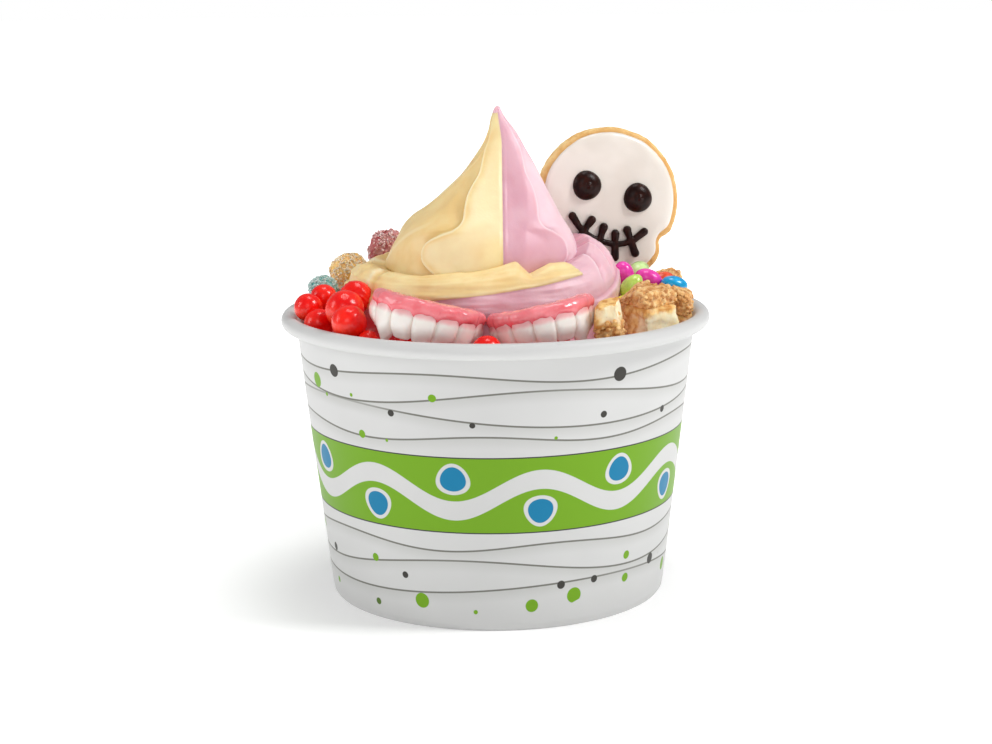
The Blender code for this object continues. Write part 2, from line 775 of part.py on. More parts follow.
def build_cookie():
    carrier = bpy.data.objects.new("skull_cookie", None)
    PARTS.objects.link(carrier)
    carrier.location = COOKIE_PLACE
    carrier.rotation_mode = "XYZ"
    carrier.rotation_euler = (
        math.radians(COOKIE_LEAN),
        math.radians(COOKIE_ROLL),
        math.radians(COOKIE_YAW),
    )
    flat_outline("cookie", skull_outline(0), COOKIE_THICKNESS, BISCUIT, carrier)
    icing = flat_outline("cookie_icing", skull_outline(ICING_INSET), ICING_THICKNESS, ICING, carrier)
    icing.data.transform(Matrix.Translation((0, -COOKIE_THICKNESS - GAP, 0)))
    front = -COOKIE_THICKNESS - ICING_THICKNESS - 2 * GAP
    for number, (x, z) in enumerate(EYE_PLACES, 1):
        bm = bmesh.new()
        bmesh.ops.create_uvsphere(bm, u_segments=12, v_segments=8, radius=EYE_RADIUS)
        bmesh.ops.bisect_plane(
            bm, geom=bm.verts[:] + bm.edges[:] + bm.faces[:], dist=1e-7,
            plane_co=(0, 0, -0.0002), plane_no=(0, 0, 1), clear_inner=True,
        )
        bmesh.ops.holes_fill(bm, edges=bm.edges)
        bmesh.ops.scale(bm, vec=(1, 1, 0.62), verts=bm.verts)
        bmesh.ops.rotate(bm, matrix=Matrix.Rotation(math.radians(90), 3, "X"), verts=bm.verts)
        eye = place(f"cookie_eye_{number}", mesh_from(bm, "eye"), CHOCOLATE, PARTS)
        eye.location = (x, front - 0.0002, z)
        eye.parent = carrier
    build_mouth(carrier, front)
    depth = COOKIE_THICKNESS + ICING_THICKNESS + 2 * PIPING_RADIUS + 4 * GAP
    hollow = flat_outline("room_for_cookie", skull_outline(-GAP), depth, None, carrier)
    hollow.modifiers.clear()
    hollow.data.transform(Matrix.Translation((0, GAP, 0)))
    return as_cutter(hollow)


# ---------------------------------------------------------------- the object
clear_scene()
PARTS = new_collection("Frozen yogurt cup")
CUTTERS = new_collection("Cutters")
PAPER_WHITE = finish_of("Paper", (0.82, 0.82, 0.82), 0.55)
YELLOW = finish_of("Yellow soft serve", (0.90, 0.70, 0.36), 0.4)
PINK = finish_of("Pink soft serve", (0.84, 0.50, 0.60), 0.4)
JELLY_RED = finish_of("Red jelly", (0.80, 0.02, 0.02), 0.1)
GUM_PINK = finish_of("Gummy pink", (0.85, 0.22, 0.26), 0.25)
TOOTH_WHITE = finish_of("Gummy white", (0.82, 0.78, 0.75), 0.3)
BISCUIT = finish_of("Baked biscuit", (0.75, 0.48, 0.20), 0.7)
ICING = finish_of("White icing", (0.86, 0.84, 0.80), 0.35)
CHOCOLATE = finish_of("Dark chocolate", (0.05, 0.02, 0.015), 0.3)
CREAM = finish_of("Cream cake", (0.88, 0.76, 0.52), 0.6)
CRUMB = finish_of("Brown crumb", (0.58, 0.30, 0.10), 0.8)
GUMMY_FINISHES = {
    "teal": finish_of("Teal sugar", (0.25, 0.48, 0.46), 0.6),
    "orange": finish_of("Orange sugar", (0.85, 0.56, 0.28), 0.6),
    "cherry": finish_of("Cherry sugar", (0.50, 0.14, 0.18), 0.6),
    "lime": finish_of("Lime sugar", (0.45, 0.62, 0.25), 0.6),
    "lemon": finish_of("Lemon sugar", (0.86, 0.72, 0.28), 0.6),
    "rose": finish_of("Rose sugar", (0.70, 0.26, 0.32), 0.6),
}
CANDY_FINISHES = {
    "magenta": finish_of("Magenta shell", (0.80, 0.06, 0.42), 0.15),
    "green": finish_of("Green shell", (0.50, 0.70, 0.10), 0.15),
    "pale_green": finish_of("Pale green shell", (0.56, 0.76, 0.36), 0.15),
    "orange": finish_of("Orange shell", (0.84, 0.12, 0.03), 0.15),
    "blue": finish_of("Blue shell", (0.01, 0.32, 0.64), 0.15),
    "yellow": finish_of("Yellow shell", (0.85, 0.72, 0.12), 0.15),
}

build_cup_wall()
build_cup_bottom()
balls = build_jelly_balls()
gummies = build_sugared_gummies()
candies = build_candies()
build_cake_bites()
build_dentures()
cookie_hollow = build_cookie()
bpy.context.view_layer.update()
pressed_in = (balls[5], gummies[1], gummies[2], candies[0])
build_soft_serve([cookie_hollow, *(room_for(piece) for piece in pressed_in)])
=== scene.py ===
import math
import random
from functools import cache, partialmethod

import bmesh
import bpy
from mathutils import Matrix, Vector, noise


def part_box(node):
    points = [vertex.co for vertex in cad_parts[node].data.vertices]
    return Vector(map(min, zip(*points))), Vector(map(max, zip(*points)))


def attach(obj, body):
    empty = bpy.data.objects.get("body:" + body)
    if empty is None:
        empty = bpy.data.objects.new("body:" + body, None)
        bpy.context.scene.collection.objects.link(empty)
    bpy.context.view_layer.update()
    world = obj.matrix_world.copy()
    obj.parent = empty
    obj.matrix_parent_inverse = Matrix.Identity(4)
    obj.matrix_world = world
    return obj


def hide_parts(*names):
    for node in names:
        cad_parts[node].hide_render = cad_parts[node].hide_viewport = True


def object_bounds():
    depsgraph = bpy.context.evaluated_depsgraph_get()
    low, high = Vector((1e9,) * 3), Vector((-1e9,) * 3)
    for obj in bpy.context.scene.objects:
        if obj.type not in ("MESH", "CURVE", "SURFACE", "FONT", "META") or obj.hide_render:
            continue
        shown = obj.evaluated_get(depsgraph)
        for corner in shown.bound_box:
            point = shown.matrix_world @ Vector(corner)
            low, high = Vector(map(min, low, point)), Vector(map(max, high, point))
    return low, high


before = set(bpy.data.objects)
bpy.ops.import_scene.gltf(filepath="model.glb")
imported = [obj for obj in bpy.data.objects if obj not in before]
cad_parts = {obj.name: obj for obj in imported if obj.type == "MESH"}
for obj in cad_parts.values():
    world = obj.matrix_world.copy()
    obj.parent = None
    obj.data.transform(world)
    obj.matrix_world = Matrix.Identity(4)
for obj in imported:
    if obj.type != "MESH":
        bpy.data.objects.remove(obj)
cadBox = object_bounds()
random.seed(11)


def tint(red, green, blue):  # a screen colour as the shader wants it
    def linear(value):
        value /= 255
        return value / 12.92 if value <= 0.04045 else ((value + 0.055) / 1.055) ** 2.4

    return (linear(red), linear(green), linear(blue), 1.0)


class Value:
    # a shader socket that sums and products can be written on
    def __init__(self, finish, socket):
        self.finish, self.socket = finish, socket

    def maths(self, operation, *others):
        return self.finish.node("Math", {"operation": operation}, dict(enumerate((self, *others))))

    __add__ = __radd__ = partialmethod(maths, "ADD")
    __mul__ = __rmul__ = partialmethod(maths, "MULTIPLY")
    __sub__ = partialmethod(maths, "SUBTRACT")
    __abs__ = partialmethod(maths, "ABSOLUTE")
    sine = partialmethod(maths, "SINE")
    most = partialmethod(maths, "MAXIMUM")
    least = partialmethod(maths, "MINIMUM")

    def __rsub__(self, other):
        return self.finish.node("Math", {"operation": "SUBTRACT"}, {0: other, 1: self})

    def rise(self, start, end):  # 0 before start, 1 after end, smooth between
        sockets = {0: self, 1: start, 2: end, 3: 0.0, 4: 1.0}
        return self.finish.node("MapRange", {"interpolation_type": "SMOOTHSTEP"}, sockets)

    def fall(self, start, end):
        return 1 - self.rise(start, end)


class Finish:
    # a material: its Principled shader, and the nodes that feed it
    # scatter is the weight, radius and scale of the light that goes under the skin
    def __init__(self, name, constants, scatter=()):
        self.material = bpy.data.materials.new(name)
        self.material.use_nodes = True
        self.tree = self.material.node_tree
        self.shader = self.tree.nodes["Principled BSDF"]
        scatterSockets = ("Subsurface Weight", "Subsurface Radius", "Subsurface Scale")
        for socket, value in [*constants.items(), *zip(scatterSockets, scatter)]:
            self.shader.inputs[socket].default_value = value
        self.place = self.node("TexCoord", {}, {}, "Object")

    def node(self, kind, settings, sockets, output=0):
        made = self.tree.nodes.new("ShaderNode" + kind)
        for key, value in settings.items():
            if key == "stops":
                for spare in list(made.color_ramp.elements)[1:]:
                    made.color_ramp.elements.remove(spare)
                made.color_ramp.elements[0].position = value[0][0]
                made.color_ramp.elements[0].color = value[0][1]
                for position, colour in value[1:]:
                    made.color_ramp.elements.new(position).color = colour
            else:
                setattr(made, key, value)
        for key, value in sockets.items():
            if isinstance(value, Value):
                self.tree.links.new(value.socket, made.inputs[key])
            else:
                made.inputs[key].default_value = value
        return Value(self, made.outputs[output])

    def feed(self, socket, value):
        self.tree.links.new(value.socket, self.shader.inputs[socket])

    def noise(self, scale, detail):
        sockets = {"Vector": self.place, "Scale": scale, "Detail": detail}
        return self.node("TexNoise", {}, sockets)

    def cells(self, scale, output="Distance", where=None):  # flat cells where a place is given
        sockets = {"Vector": where or self.place, "Scale": scale}
        return self.node("TexVoronoi", {"voronoi_dimensions": "2D" if where else "3D"}, sockets, output)

    def attribute(self, name):
        return self.node("Attribute", {"attribute_name": name}, {}, "Fac")

    def axes(self, vector=None):
        return [self.node("SeparateXYZ", {}, {0: vector or self.place}, k) for k in range(3)]

    def vector(self, x, y, z):
        return self.node("CombineXYZ", {}, {0: x, 1: y, 2: z})

    def length(self, vector):
        return self.node("VectorMath", {"operation": "LENGTH"}, {0: vector}, "Value")

    def blend(self, amount, first, second):
        sockets = {0: amount, 6: first, 7: second}
        return self.node("Mix", {"data_type": "RGBA"}, sockets, 2)

    def mottle(self, first, second, scale, detail, low=0.3, high=0.7):
        return self.blend(self.noise(scale, detail).rise(low, high), first, second)

    def bump(self, height, distance, strength):
        sockets = {"Height": height, "Distance": distance, "Strength": strength}
        self.feed("Normal", self.node("Bump", {}, sockets))


def layered(name, constants, scatter, patches, grains, bump, overs=(), specks=(), pores=()):
    # patches of two colours, then what attributes and specks lay over them, on a fine grain
    finish = Finish(name, constants, scatter)
    colour = finish.mottle(*patches)
    for attribute, amount, tone in overs:
        colour = finish.blend(finish.attribute(attribute) * amount, colour, tone)
    for scale, detail, low, high, amount, tone in specks:
        colour = finish.blend(finish.noise(scale, detail).rise(low, high) * amount, colour, tone)
    finish.feed("Base Color", colour)
    heights = [finish.noise(scale, detail) * weight for scale, detail, weight in grains]
    heights += [finish.cells(scale) * weight for scale, weight in pores]
    finish.bump(sum(heights), *bump)
    return finish


def smoothStep(start, end, value):
    share = min(max((value - start) / (end - start), 0.0), 1.0)
    return share * share * (3 - 2 * share)


def within(value, band):  # up over the band's first two numbers, down over its last two
    return smoothStep(band[0], band[1], value) * smoothStep(band[3], band[2], value)


def hill(value, width):
    return math.exp(-((value / width) ** 2))


def heading(bearing):  # 0 is the front, 90 the right
    angle = math.radians(bearing)
    return Vector((math.sin(angle), -math.cos(angle), 0))


def lift(height):
    return Vector((0, 0, height))


def bearingOf(x, y):
    return math.degrees(math.atan2(x, -y))


def catmull(before, here, after, beyond, share):
    return 0.5 * (
        2 * here
        + (after - before) * share
        + (2 * before - 5 * here + 4 * after - beyond) * share**2
        + (3 * here - before - 3 * after + beyond) * share**3
    )


def around(compass, bearing):  # eight values, read smoothly in any direction
    count = len(compass)
    spot = (bearing % 360) / 360 * count
    index = int(spot)
    return catmull(*(compass[(index + k) % count] for k in (-1, 0, 1, 2)), spot - index)


def straightAt(table, key):  # rows of (key, value), read along straight lines between them
    key = min(max(key, table[0][0]), table[-1][0])
    low, high = next(pair for pair in zip(table, table[1:]) if key <= pair[1][0])
    return low[1] + (high[1] - low[1]) * (key - low[0]) / (high[0] - low[0])


def flowAt(table, key):  # rows of (key, value...), read along a curve through them
    key = min(max(key, table[0][0]), table[-1][0])
    k = next((n for n in range(1, len(table) - 1) if table[n][0] >= key), len(table) - 1)
    low, high = table[k - 1], table[k]
    before, after = table[max(k - 2, 0)], table[min(k + 1, len(table) - 1)]
    span = high[0] - low[0]
    share = (key - low[0]) / span
    square, cube = share**2, share**3
    values = []
    for a, b, c, d in zip(before[1:], low[1:], high[1:], after[1:]):
        leave = (c - a) / (high[0] - before[0]) * span
        arrive = (d - b) / (after[0] - low[0]) * span
        ends = b * (2 * cube - 3 * square + 1) + c * (3 * square - 2 * cube)
        values.append(ends + leave * (cube - 2 * square + share) + arrive * (cube - square))
    return values


def wobble(point, size, seed=0.0):  # soft noise from -1 to 1 whose bumps are about this size
    return noise.noise(point / size + Vector((seed, seed * 1.7, -seed)))


def lumps(point, *layers):  # noise in layers of (size, height, seed)
    return sum(height * wobble(point, size, seed) for size, height, seed in layers)


def turned(degrees):
    turns = zip("XYZ", degrees)
    x, y, z = (Matrix.Rotation(math.radians(angle), 4, axis) for axis, angle in turns)
    return z @ y @ x


def newLayer(bm, name):
    return bm.verts.layers.float.new(name)


def move(bm, matrix):
    bmesh.ops.transform(bm, matrix=matrix, verts=bm.verts)


def spun(points, steps):  # (reach, height) points, turned round the upright axis from the front
    bm = bmesh.new()
    verts = [bm.verts.new((0, -reach, height)) for reach, height in points]
    edges = [bm.edges.new(pair) for pair in zip(verts, verts[1:])]
    bmesh.ops.spin(
        bm, geom=verts + edges, cent=(0, 0, 0), axis=(0, 0, 1), angle=math.tau,
        steps=steps, use_merge=True, use_duplicate=False,
    )
    return bm


def link(name, data):
    made = bpy.data.objects.new(name, data)
    bpy.context.scene.collection.objects.link(made)
    return made


def meshFrom(bm, name, sharpAngle=180):
    mesh = bpy.data.meshes.new(name)
    bm.to_mesh(mesh)
    bm.free()
    mesh.shade_smooth()
    mesh.set_sharp_from_angle(angle=math.radians(sharpAngle))
    return mesh


def addPiece(name, bm, sharpAngle, finish, slot, *nodes):
    bmesh.ops.recalc_face_normals(bm, faces=bm.faces)
    mesh = meshFrom(bm, name, sharpAngle)
    mesh.materials.append(finish.material)
    piece = link(name, mesh)
    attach(piece, "root")
    if nodes:
        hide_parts(*nodes)


def fused(bm, grain, smoothing):  # one skin round everything in the bmesh
    bmesh.ops.recalc_face_normals(bm, faces=bm.faces)
    mesh = meshFrom(bm, "loose")
    holder = link("loose", mesh)
    remesh = holder.modifiers.new("Fuse", "REMESH")
    remesh.mode = "VOXEL"
    remesh.voxel_size = grain
    relax = holder.modifiers.new("Relax", "SMOOTH")
    relax.factor = 0.5
    relax.iterations = smoothing
    bpy.context.view_layer.update()
    graph = bpy.context.evaluated_depsgraph_get()
    skin = bmesh.new()
    skin.from_object(holder, graph)
    bpy.data.objects.remove(holder)
    bpy.data.meshes.remove(mesh)
    return skin


def ringStack(bm, rings):  # rings of equal length, skinned one to the next and closed at both ends
    row = bmesh.ops.create_circle(bm, segments=len(rings[0]), radius=1)["verts"]
    edges = list(dict.fromkeys(edge for vert in row for edge in vert.link_edges))
    for vert, point in zip(row, rings[0]):
        vert.co = point
    bmesh.ops.edgeloop_fill(bm, edges=edges)
    for ring in rings[1:]:
        order = {vert: k for k, vert in enumerate(row)}
        made = bmesh.ops.extrude_edge_only(bm, edges=edges)["geom"]
        freshEdges = [item for item in made if isinstance(item, bmesh.types.BMEdge)]
        freshEdges = [edge for edge in freshEdges if len(edge.link_faces) == 1]
        partner = {}
        for vert in dict.fromkeys(vert for edge in freshEdges for vert in edge.verts):
            below = next(e.other_vert(vert) for e in vert.link_edges if e.other_vert(vert) in order)
            partner[order[below]] = vert
        row = [partner[k] for k in range(len(ring))]
        for vert, point in zip(row, ring):
            vert.co = point
        edges = freshEdges
    bmesh.ops.edgeloop_fill(bm, edges=edges)


def readBox(node):  # centre and half size of a CAD node
    low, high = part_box(node)
    return (low + high) / 2, (high - low) / 2


# ---- paper cup: one sheet that runs from the hem over the foot, up the side and round the rim
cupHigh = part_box("cup_wall")[1]
cup = {
    "rimRadius": cupHigh.x,
    "rollRadius": 0.00175,
    "footRadius": 0.03765,
    "neckRadius": 0.04477,
    "paper": 0.00045,
    "hemHeight": 0.0052,
    "hemPocket": 0.001,
    # how far across and up the paper takes to turn a corner
    "corner": (0.0002, 0.0003),
    # where the straight of the wall starts, and its rise
    "straight": (0.002, 0.0586),
    "wallRows": 24,
    "discHeight": 0.0058,
    "discCorner": 0.0009,
    "curlEnd": -150,
    "curlRows": 30,
    "curlTuck": 0.0002,
    "columns": 200,
    "discColumns": 96,
    "wave": 0.00012,
}
cup["rollHeight"] = cupHigh.z - cup["rollRadius"]

printing = {
    "grey": tint(118, 118, 110),
    "darkGrey": tint(60, 58, 54),
    "lineShade": tint(186, 186, 183),
    "green": tint(114, 164, 20),
    "blue": tint(0, 122, 166),
    # lowest and highest print, and how softly an edge of print ends
    "span": (0.0012, 0.0583),
    "edge": 0.0001,
    "blur": 0.00012,
    # height, swing, waves round the cup and start of each line
    "lines": (
        (0.0088, 0.0016, 2, 0.4), (0.0138, 0.0021, 3, 2.1), (0.0187, 0.0008, 5, 0.0),
        (0.0425, 0.0009, 5, 1.9), (0.0470, 0.0022, 2, 3.6), (0.0512, 0.0019, 3, 0.9),
        (0.0556, 0.0010, 4, 2.8),
    ),
    "lineHalf": 0.00015,
    # cells to a metre, each with its dot, the heights between which they lie, and their gap to the belt
    "dotScale": 112,
    "dotSpan": (0.0034, 0.0562),
    "dotGap": 0.0022,
    "belt": (0.0222, 0.0388),
    "bends": 7,
    # swing and half width of the ribbon along the belt
    "ribbon": (0.0034, 0.00205),
    # how far above and below the belt's middle the beads are, and the radius of their white and blue
    "beadSwing": 0.0036,
    "beadRadii": (0.00340, 0.00262),
    # bearing of the paper's glued seam, in radians, and how wide its step is
    "seam": (3.02, 0.012),
}


def wallRadius(height):
    share = height / cup["rollHeight"]
    return cup["footRadius"] + (cup["neckRadius"] - cup["footRadius"]) * share


def makePaper(name, withPrint):
    paper = Finish(
        name, {"Roughness": 0.42, "Specular IOR Level": 0.22, "Coat Weight": 0.04, "Coat Roughness": 0.3},
    )
    x, y, z = paper.axes()
    fibre = paper.noise(900, 3) * 0.5 + paper.noise(140, 2) * 0.5
    white = paper.blend(paper.noise(60, 2), tint(205, 205, 204), tint(213, 213, 212))
    if not withPrint:
        paper.feed("Base Color", white)
        paper.bump(fibre, 0.00006, 0.5)
        return paper
    bearing = paper.node("Math", {"operation": "ARCTAN2"}, {0: x, 1: -1 * y})
    edge, blur = printing["edge"], printing["blur"]
    low, high = printing["span"]
    inPrint = z.rise(low, low + edge) * z.fall(high, high + edge)
    colour = white

    # long lines that roll round the cup, each with a soft shade under it
    for height, swing, waves, start in printing["lines"]:
        away = z - (bearing * waves + start).sine() * swing - height
        shade = away.rise(-0.0030, -0.0001) * away.fall(-0.0001, 0.0)
        colour = paper.blend(shade * inPrint * 0.5, colour, printing["lineShade"])
        line = abs(away).fall(printing["lineHalf"], printing["lineHalf"] + edge)
        colour = paper.blend(line * inPrint, colour, printing["grey"])

    # round dots, scattered by cells, in two colours and several sizes
    beltLow, beltHigh = printing["belt"]
    beltMiddle, beltHalf = (beltLow + beltHigh) / 2, (beltHigh - beltLow) / 2
    face = wallRadius(0.031)
    flat = paper.vector(bearing * face, z, 0.0)
    scale = printing["dotScale"]
    lot = paper.axes(paper.cells(scale, "Color", flat))
    dotHeight = paper.axes(paper.cells(scale, "Position", flat))[1]
    size = (lot[0] - 0.18).most(0.0) * 0.24
    inDot = (paper.cells(scale, "Distance", flat) - size).fall(-0.006, 0.006) * size.rise(0.035, 0.036)
    (low, high), gap = printing["dotSpan"], printing["dotGap"]
    aboveBelt = dotHeight.rise(beltHigh + gap, beltHigh + gap + edge) * dotHeight.fall(high, high + edge)
    belowBelt = dotHeight.fall(beltLow - gap - edge, beltLow - gap) * dotHeight.rise(low, low + edge)
    dotColour = paper.blend(lot[1].rise(0.44, 0.45), printing["darkGrey"], printing["green"])
    colour = paper.blend(inDot * aboveBelt.most(belowBelt), colour, dotColour)

    # the belt: green, with a pale ribbon that winds along it and a blue bead in each bend
    up = z - beltMiddle
    bends = printing["bends"]
    swing = (bearing * bends).sine()
    belt = abs(up).fall(beltHalf - blur / 2, beltHalf + blur / 2)
    colour = paper.blend(belt, colour, printing["green"])
    ribbonSwing, ribbonHalf = printing["ribbon"]
    winding = abs(up - swing * ribbonSwing).fall(ribbonHalf, ribbonHalf + blur)
    colour = paper.blend(winding * belt, colour, white)
    along = (bearing * bends + math.pi / 2).sine() * (face / bends)
    fromBead = paper.length(paper.vector(along, up + swing * printing["beadSwing"], 0))
    for radius, tone in zip(printing["beadRadii"], (white, printing["blue"])):
        colour = paper.blend(fromBead.fall(radius, radius + blur) * belt, colour, tone)
    border = abs(z - beltLow).least(abs(z - beltHigh)).fall(0.00010, 0.00018)
    colour = paper.blend(border, colour, printing["darkGrey"])

    # nothing is printed inside the cup, on the rim or under the foot
    slope = (cup["neckRadius"] - cup["footRadius"]) / cup["rollHeight"]
    skin = paper.length(paper.vector(x, y, 0)) - (z * slope + cup["footRadius"])
    outside = skin.rise(-0.00022, -0.00018) * inPrint
    paper.feed("Base Color", paper.blend(outside, white, colour))
    seamBearing, seamWidth = printing["seam"]
    seam = abs(abs(bearing) - seamBearing).rise(0.0, seamWidth)
    paper.bump(fibre * 0.35 + seam * 0.65, 0.00010, 0.6)
    return paper


def wallProfile():
    # the face that looks inwards on the wall looks outwards on the hem and on the rim's roll
    paper, foot = cup["paper"], cup["footRadius"]
    across, up = cup["corner"]
    hem = paper + cup["hemPocket"]
    profile = [
        (wallRadius(cup["hemHeight"]) - hem, cup["hemHeight"]),
        (foot - hem, paper + up), (foot - hem + across, paper),
        (foot - paper - across, paper), (foot - paper, paper + up),
    ]
    start, rise = cup["straight"]
    steps = cup["wallRows"]
    profile += [(wallRadius(z) - paper, z) for z in (start + rise * k / steps for k in range(steps + 1))]
    turns = cup["curlRows"]
    for k in range(turns + 1):
        angle = math.radians(180 + (cup["curlEnd"] - 180) * k / turns)
        curl = cup["rollRadius"] - cup["curlTuck"] * smoothStep(22, turns, k)
        reach = cup["rimRadius"] - cup["rollRadius"] + curl * math.cos(angle)
        profile.append((reach, cup["rollHeight"] + curl * math.sin(angle)))
    return profile


def buildCupWall(finish):
    bm = spun(wallProfile(), cup["columns"])
    bmesh.ops.remove_doubles(bm, verts=bm.verts, dist=1e-7)
    rim = cup["rimRadius"]
    for vert in bm.verts:  # paper is never quite round
        flat = vert.co.to_2d()
        soft = wobble(vert.co, 0.03, 3) * cup["wave"] * smoothStep(0.004, 0.03, vert.co.z)
        away = smoothStep(rim, rim - 0.003, flat.length)
        vert.co += flat.to_3d().normalized() * soft * (0.35 + 0.65 * away)
        reach = vert.co.to_2d().length
        if reach > rim:
            vert.co.xy *= rim / reach
    bmesh.ops.recalc_face_normals(bm, faces=bm.faces)
    outer = max(bm.faces, key=lambda face: face.calc_center_median().to_2d().length)
    if outer.normal.dot(outer.calc_center_median().to_2d().to_3d()) < 0:
        bmesh.ops.reverse_faces(bm, faces=bm.faces)
    bmesh.ops.solidify(bm, geom=bm.faces[:], thickness=cup["paper"])
    addPiece("cupWall", bm, 50, finish, "cup_paper", "cup_wall")


def buildCupBottom(finish):
    paper, foot = cup["paper"], cup["footRadius"]
    across, up = cup["corner"]
    pocket = paper + cup["hemPocket"] / 2
    top = cup["discHeight"] + paper
    under = top - paper
    skirt = wallRadius(top) - pocket
    lowest = paper + 0.0004
    profile = [
        (0.0002, top), (0.022, top), (wallRadius(top) - 0.0022, top),
        (skirt - across, top - up), (skirt, top - cup["discCorner"]),
        (foot - pocket, lowest), (foot - pocket - 0.0003, lowest),
        (skirt - 0.0003, top - cup["discCorner"] - across),
        (wallRadius(top) - 0.0026, under), (0.022, under), (0.0002, under),
    ]
    bm = spun(profile, cup["discColumns"])
    bmesh.ops.holes_fill(bm, edges=bm.edges, sides=0)
    addPiece("cupBottom", bm, 45, finish, "cup_paper", "cup_bottom")


buildCupWall(makePaper("printedPaper", True))
buildCupBottom(makePaper("plainPaper", False))
print("paper cup done")


# ---- soft serve: one skin on a grid of bearings and rows, parted where the two flavours meet
swirl = {
    "axis": Vector((0.0018, 0.0010, 0)),
    "tip": Vector((0.0009, 0.0010, cadBox[1].z)),
    "leanStart": 0.100,
    "columns": 540,
    "rows": {"wall": 1, "fill": 28, "foot": 1, "lowCoil": 32, "highCoil": 36, "crease": 1, "peak": 140},
    "fillFloor": cup["discHeight"] + cup["paper"] + 0.0003,
    # the next seven read round the cup in steps of 45 degrees from the front
    "fillTop": (0.0570, 0.0572, 0.0585, 0.0590, 0.0590, 0.0595, 0.0590, 0.0575),
    "shelf": (0.0578, 0.0590, 0.0612, 0.0620, 0.0620, 0.0625, 0.0615, 0.0592),
    "coilReach": (0.0283, 0.0275, 0.0257, 0.0262, 0.0280, 0.0300, 0.0360, 0.0322),
    "coilTop": (0.0750, 0.0758, 0.0790, 0.0785, 0.0770, 0.0752, 0.0742, 0.0738),
    "coilWidth": (0.0070, 0.0070, 0.0072, 0.0072, 0.0072, 0.0068, 0.0066, 0.0072),
    "coilHeight": (0.0075, 0.0080, 0.0100, 0.0095, 0.0085, 0.0075, 0.0070, 0.0070),
    "seam": (0.0710, 0.0734, 0.0735, 0.0700, 0.0640, 0.0625, 0.0625, 0.0680),
    "coilFoot": -25,
    "coilCrown": 86,
    "creaseDrop": 0.0011,
    "ribbonEnd": 41.3,
    "pinkTip": 0.0014,
    "peakFoot": 0.0738,
    # how far outside the coil's foot the fill starts, and how near the paper it comes
    "skirt": 0.0012,
    "wallGap": 0.0003,
    # a point inside each flavour that its hidden face is drawn to
    "cores": {"pink": Vector((0.0060, 0.0010, 0.0680)), "yellow": Vector((-0.0040, 0.0010, 0.0760))},
    # bearings between which each detail comes up, and those between which it dies away
    "bands": {
        "ribbon": (-46, -30, 41.0, 42.2), "lap": (44, 50, 92, 108), "ribs": (-150, -120, -48, -26),
        "ragged": (-140, -118, -66, -52), "flank": (-150, -125, -62, -50), "torn": (46, 58, 80, 100),
        "deepCrease": (44, 60, 95, 120),
    },
    # height, reach to the left, reach to the right
    "peak": (
        (0.0730, 0.0262, 0.0156), (0.0750, 0.0257, 0.0163), (0.0770, 0.0250, 0.0165),
        (0.0795, 0.0240, 0.0158), (0.0820, 0.0225, 0.0144), (0.0843, 0.0201, 0.0130),
        (0.0870, 0.0161, 0.0116), (0.0905, 0.0124, 0.0097), (0.0950, 0.0080, 0.0075),
        (0.0995, 0.0048, 0.0052), (0.1034, 0.0027, 0.0033), (0.1060, 0.0017, 0.0016),
        (0.1087, 0.0004, 0.0004),
    ),
    # how far from the seam the nozzle's crest runs at each height
    "crest": (
        (0.0725, 32), (0.0735, 38), (0.0750, 44), (0.0767, 49), (0.0788, 50.5), (0.0805, 49),
        (0.0820, 42), (0.0831, 34.5), (0.0849, 31), (0.0874, 35), (0.0899, 38), (0.0920, 38),
        (0.0946, 36), (0.0970, 40), (0.0995, 46),
    ),
    "crestHeight": 0.00100,
    "crestGroove": 0.00065,
    # torn upper edge of the coil across the front: bearing, rise
    "lip": (
        (-48, 0.0), (-29, -0.0002), (-12, -0.0002), (-4, 0.0003), (6.6, 0.0013), (8.2, 0.0011),
        (15, -0.0014), (20, -0.0007), (28, 0.0003), (38, 0.0001), (41, -0.0004), (46, 0.0),
    ),
    # creases in the coil: bearing, lean with the coil's angle, depth, width in degrees, first angle
    "folds": (
        (58, 0.10, 0.0008, 2.8, 30), (73, 0.20, 0.0012, 2.8, 26), (96, 0.12, 0.0009, 4.0, 5),
        (-62, -0.10, 0.0004, 3.0, 30), (-104, 0.2, 0.0005, 4.0, 10),
        (128, 0.15, 0.0006, 4.0, 5), (168, -0.2, 0.0006, 5.0, 0), (214, 0.2, 0.0006, 4.0, 5),
    ),
}


@cache
def peakSides(height):
    return flowAt(swirl["peak"], height)


@cache
def crestLine(height):  # how far the crest is from the seam, and how that changes upwards
    step = 0.00005
    line, above = (flowAt(swirl["crest"], spot)[0] for spot in (height, height + step))
    return line, (above - line) / step


def peakReach(bearing, height):
    left, right = peakSides(height)
    return left + (right - left) * (0.5 + 0.5 * math.sin(math.radians(bearing)))


def insideWall(height):
    return wallRadius(height) - cup["paper"] - swirl["wallGap"]


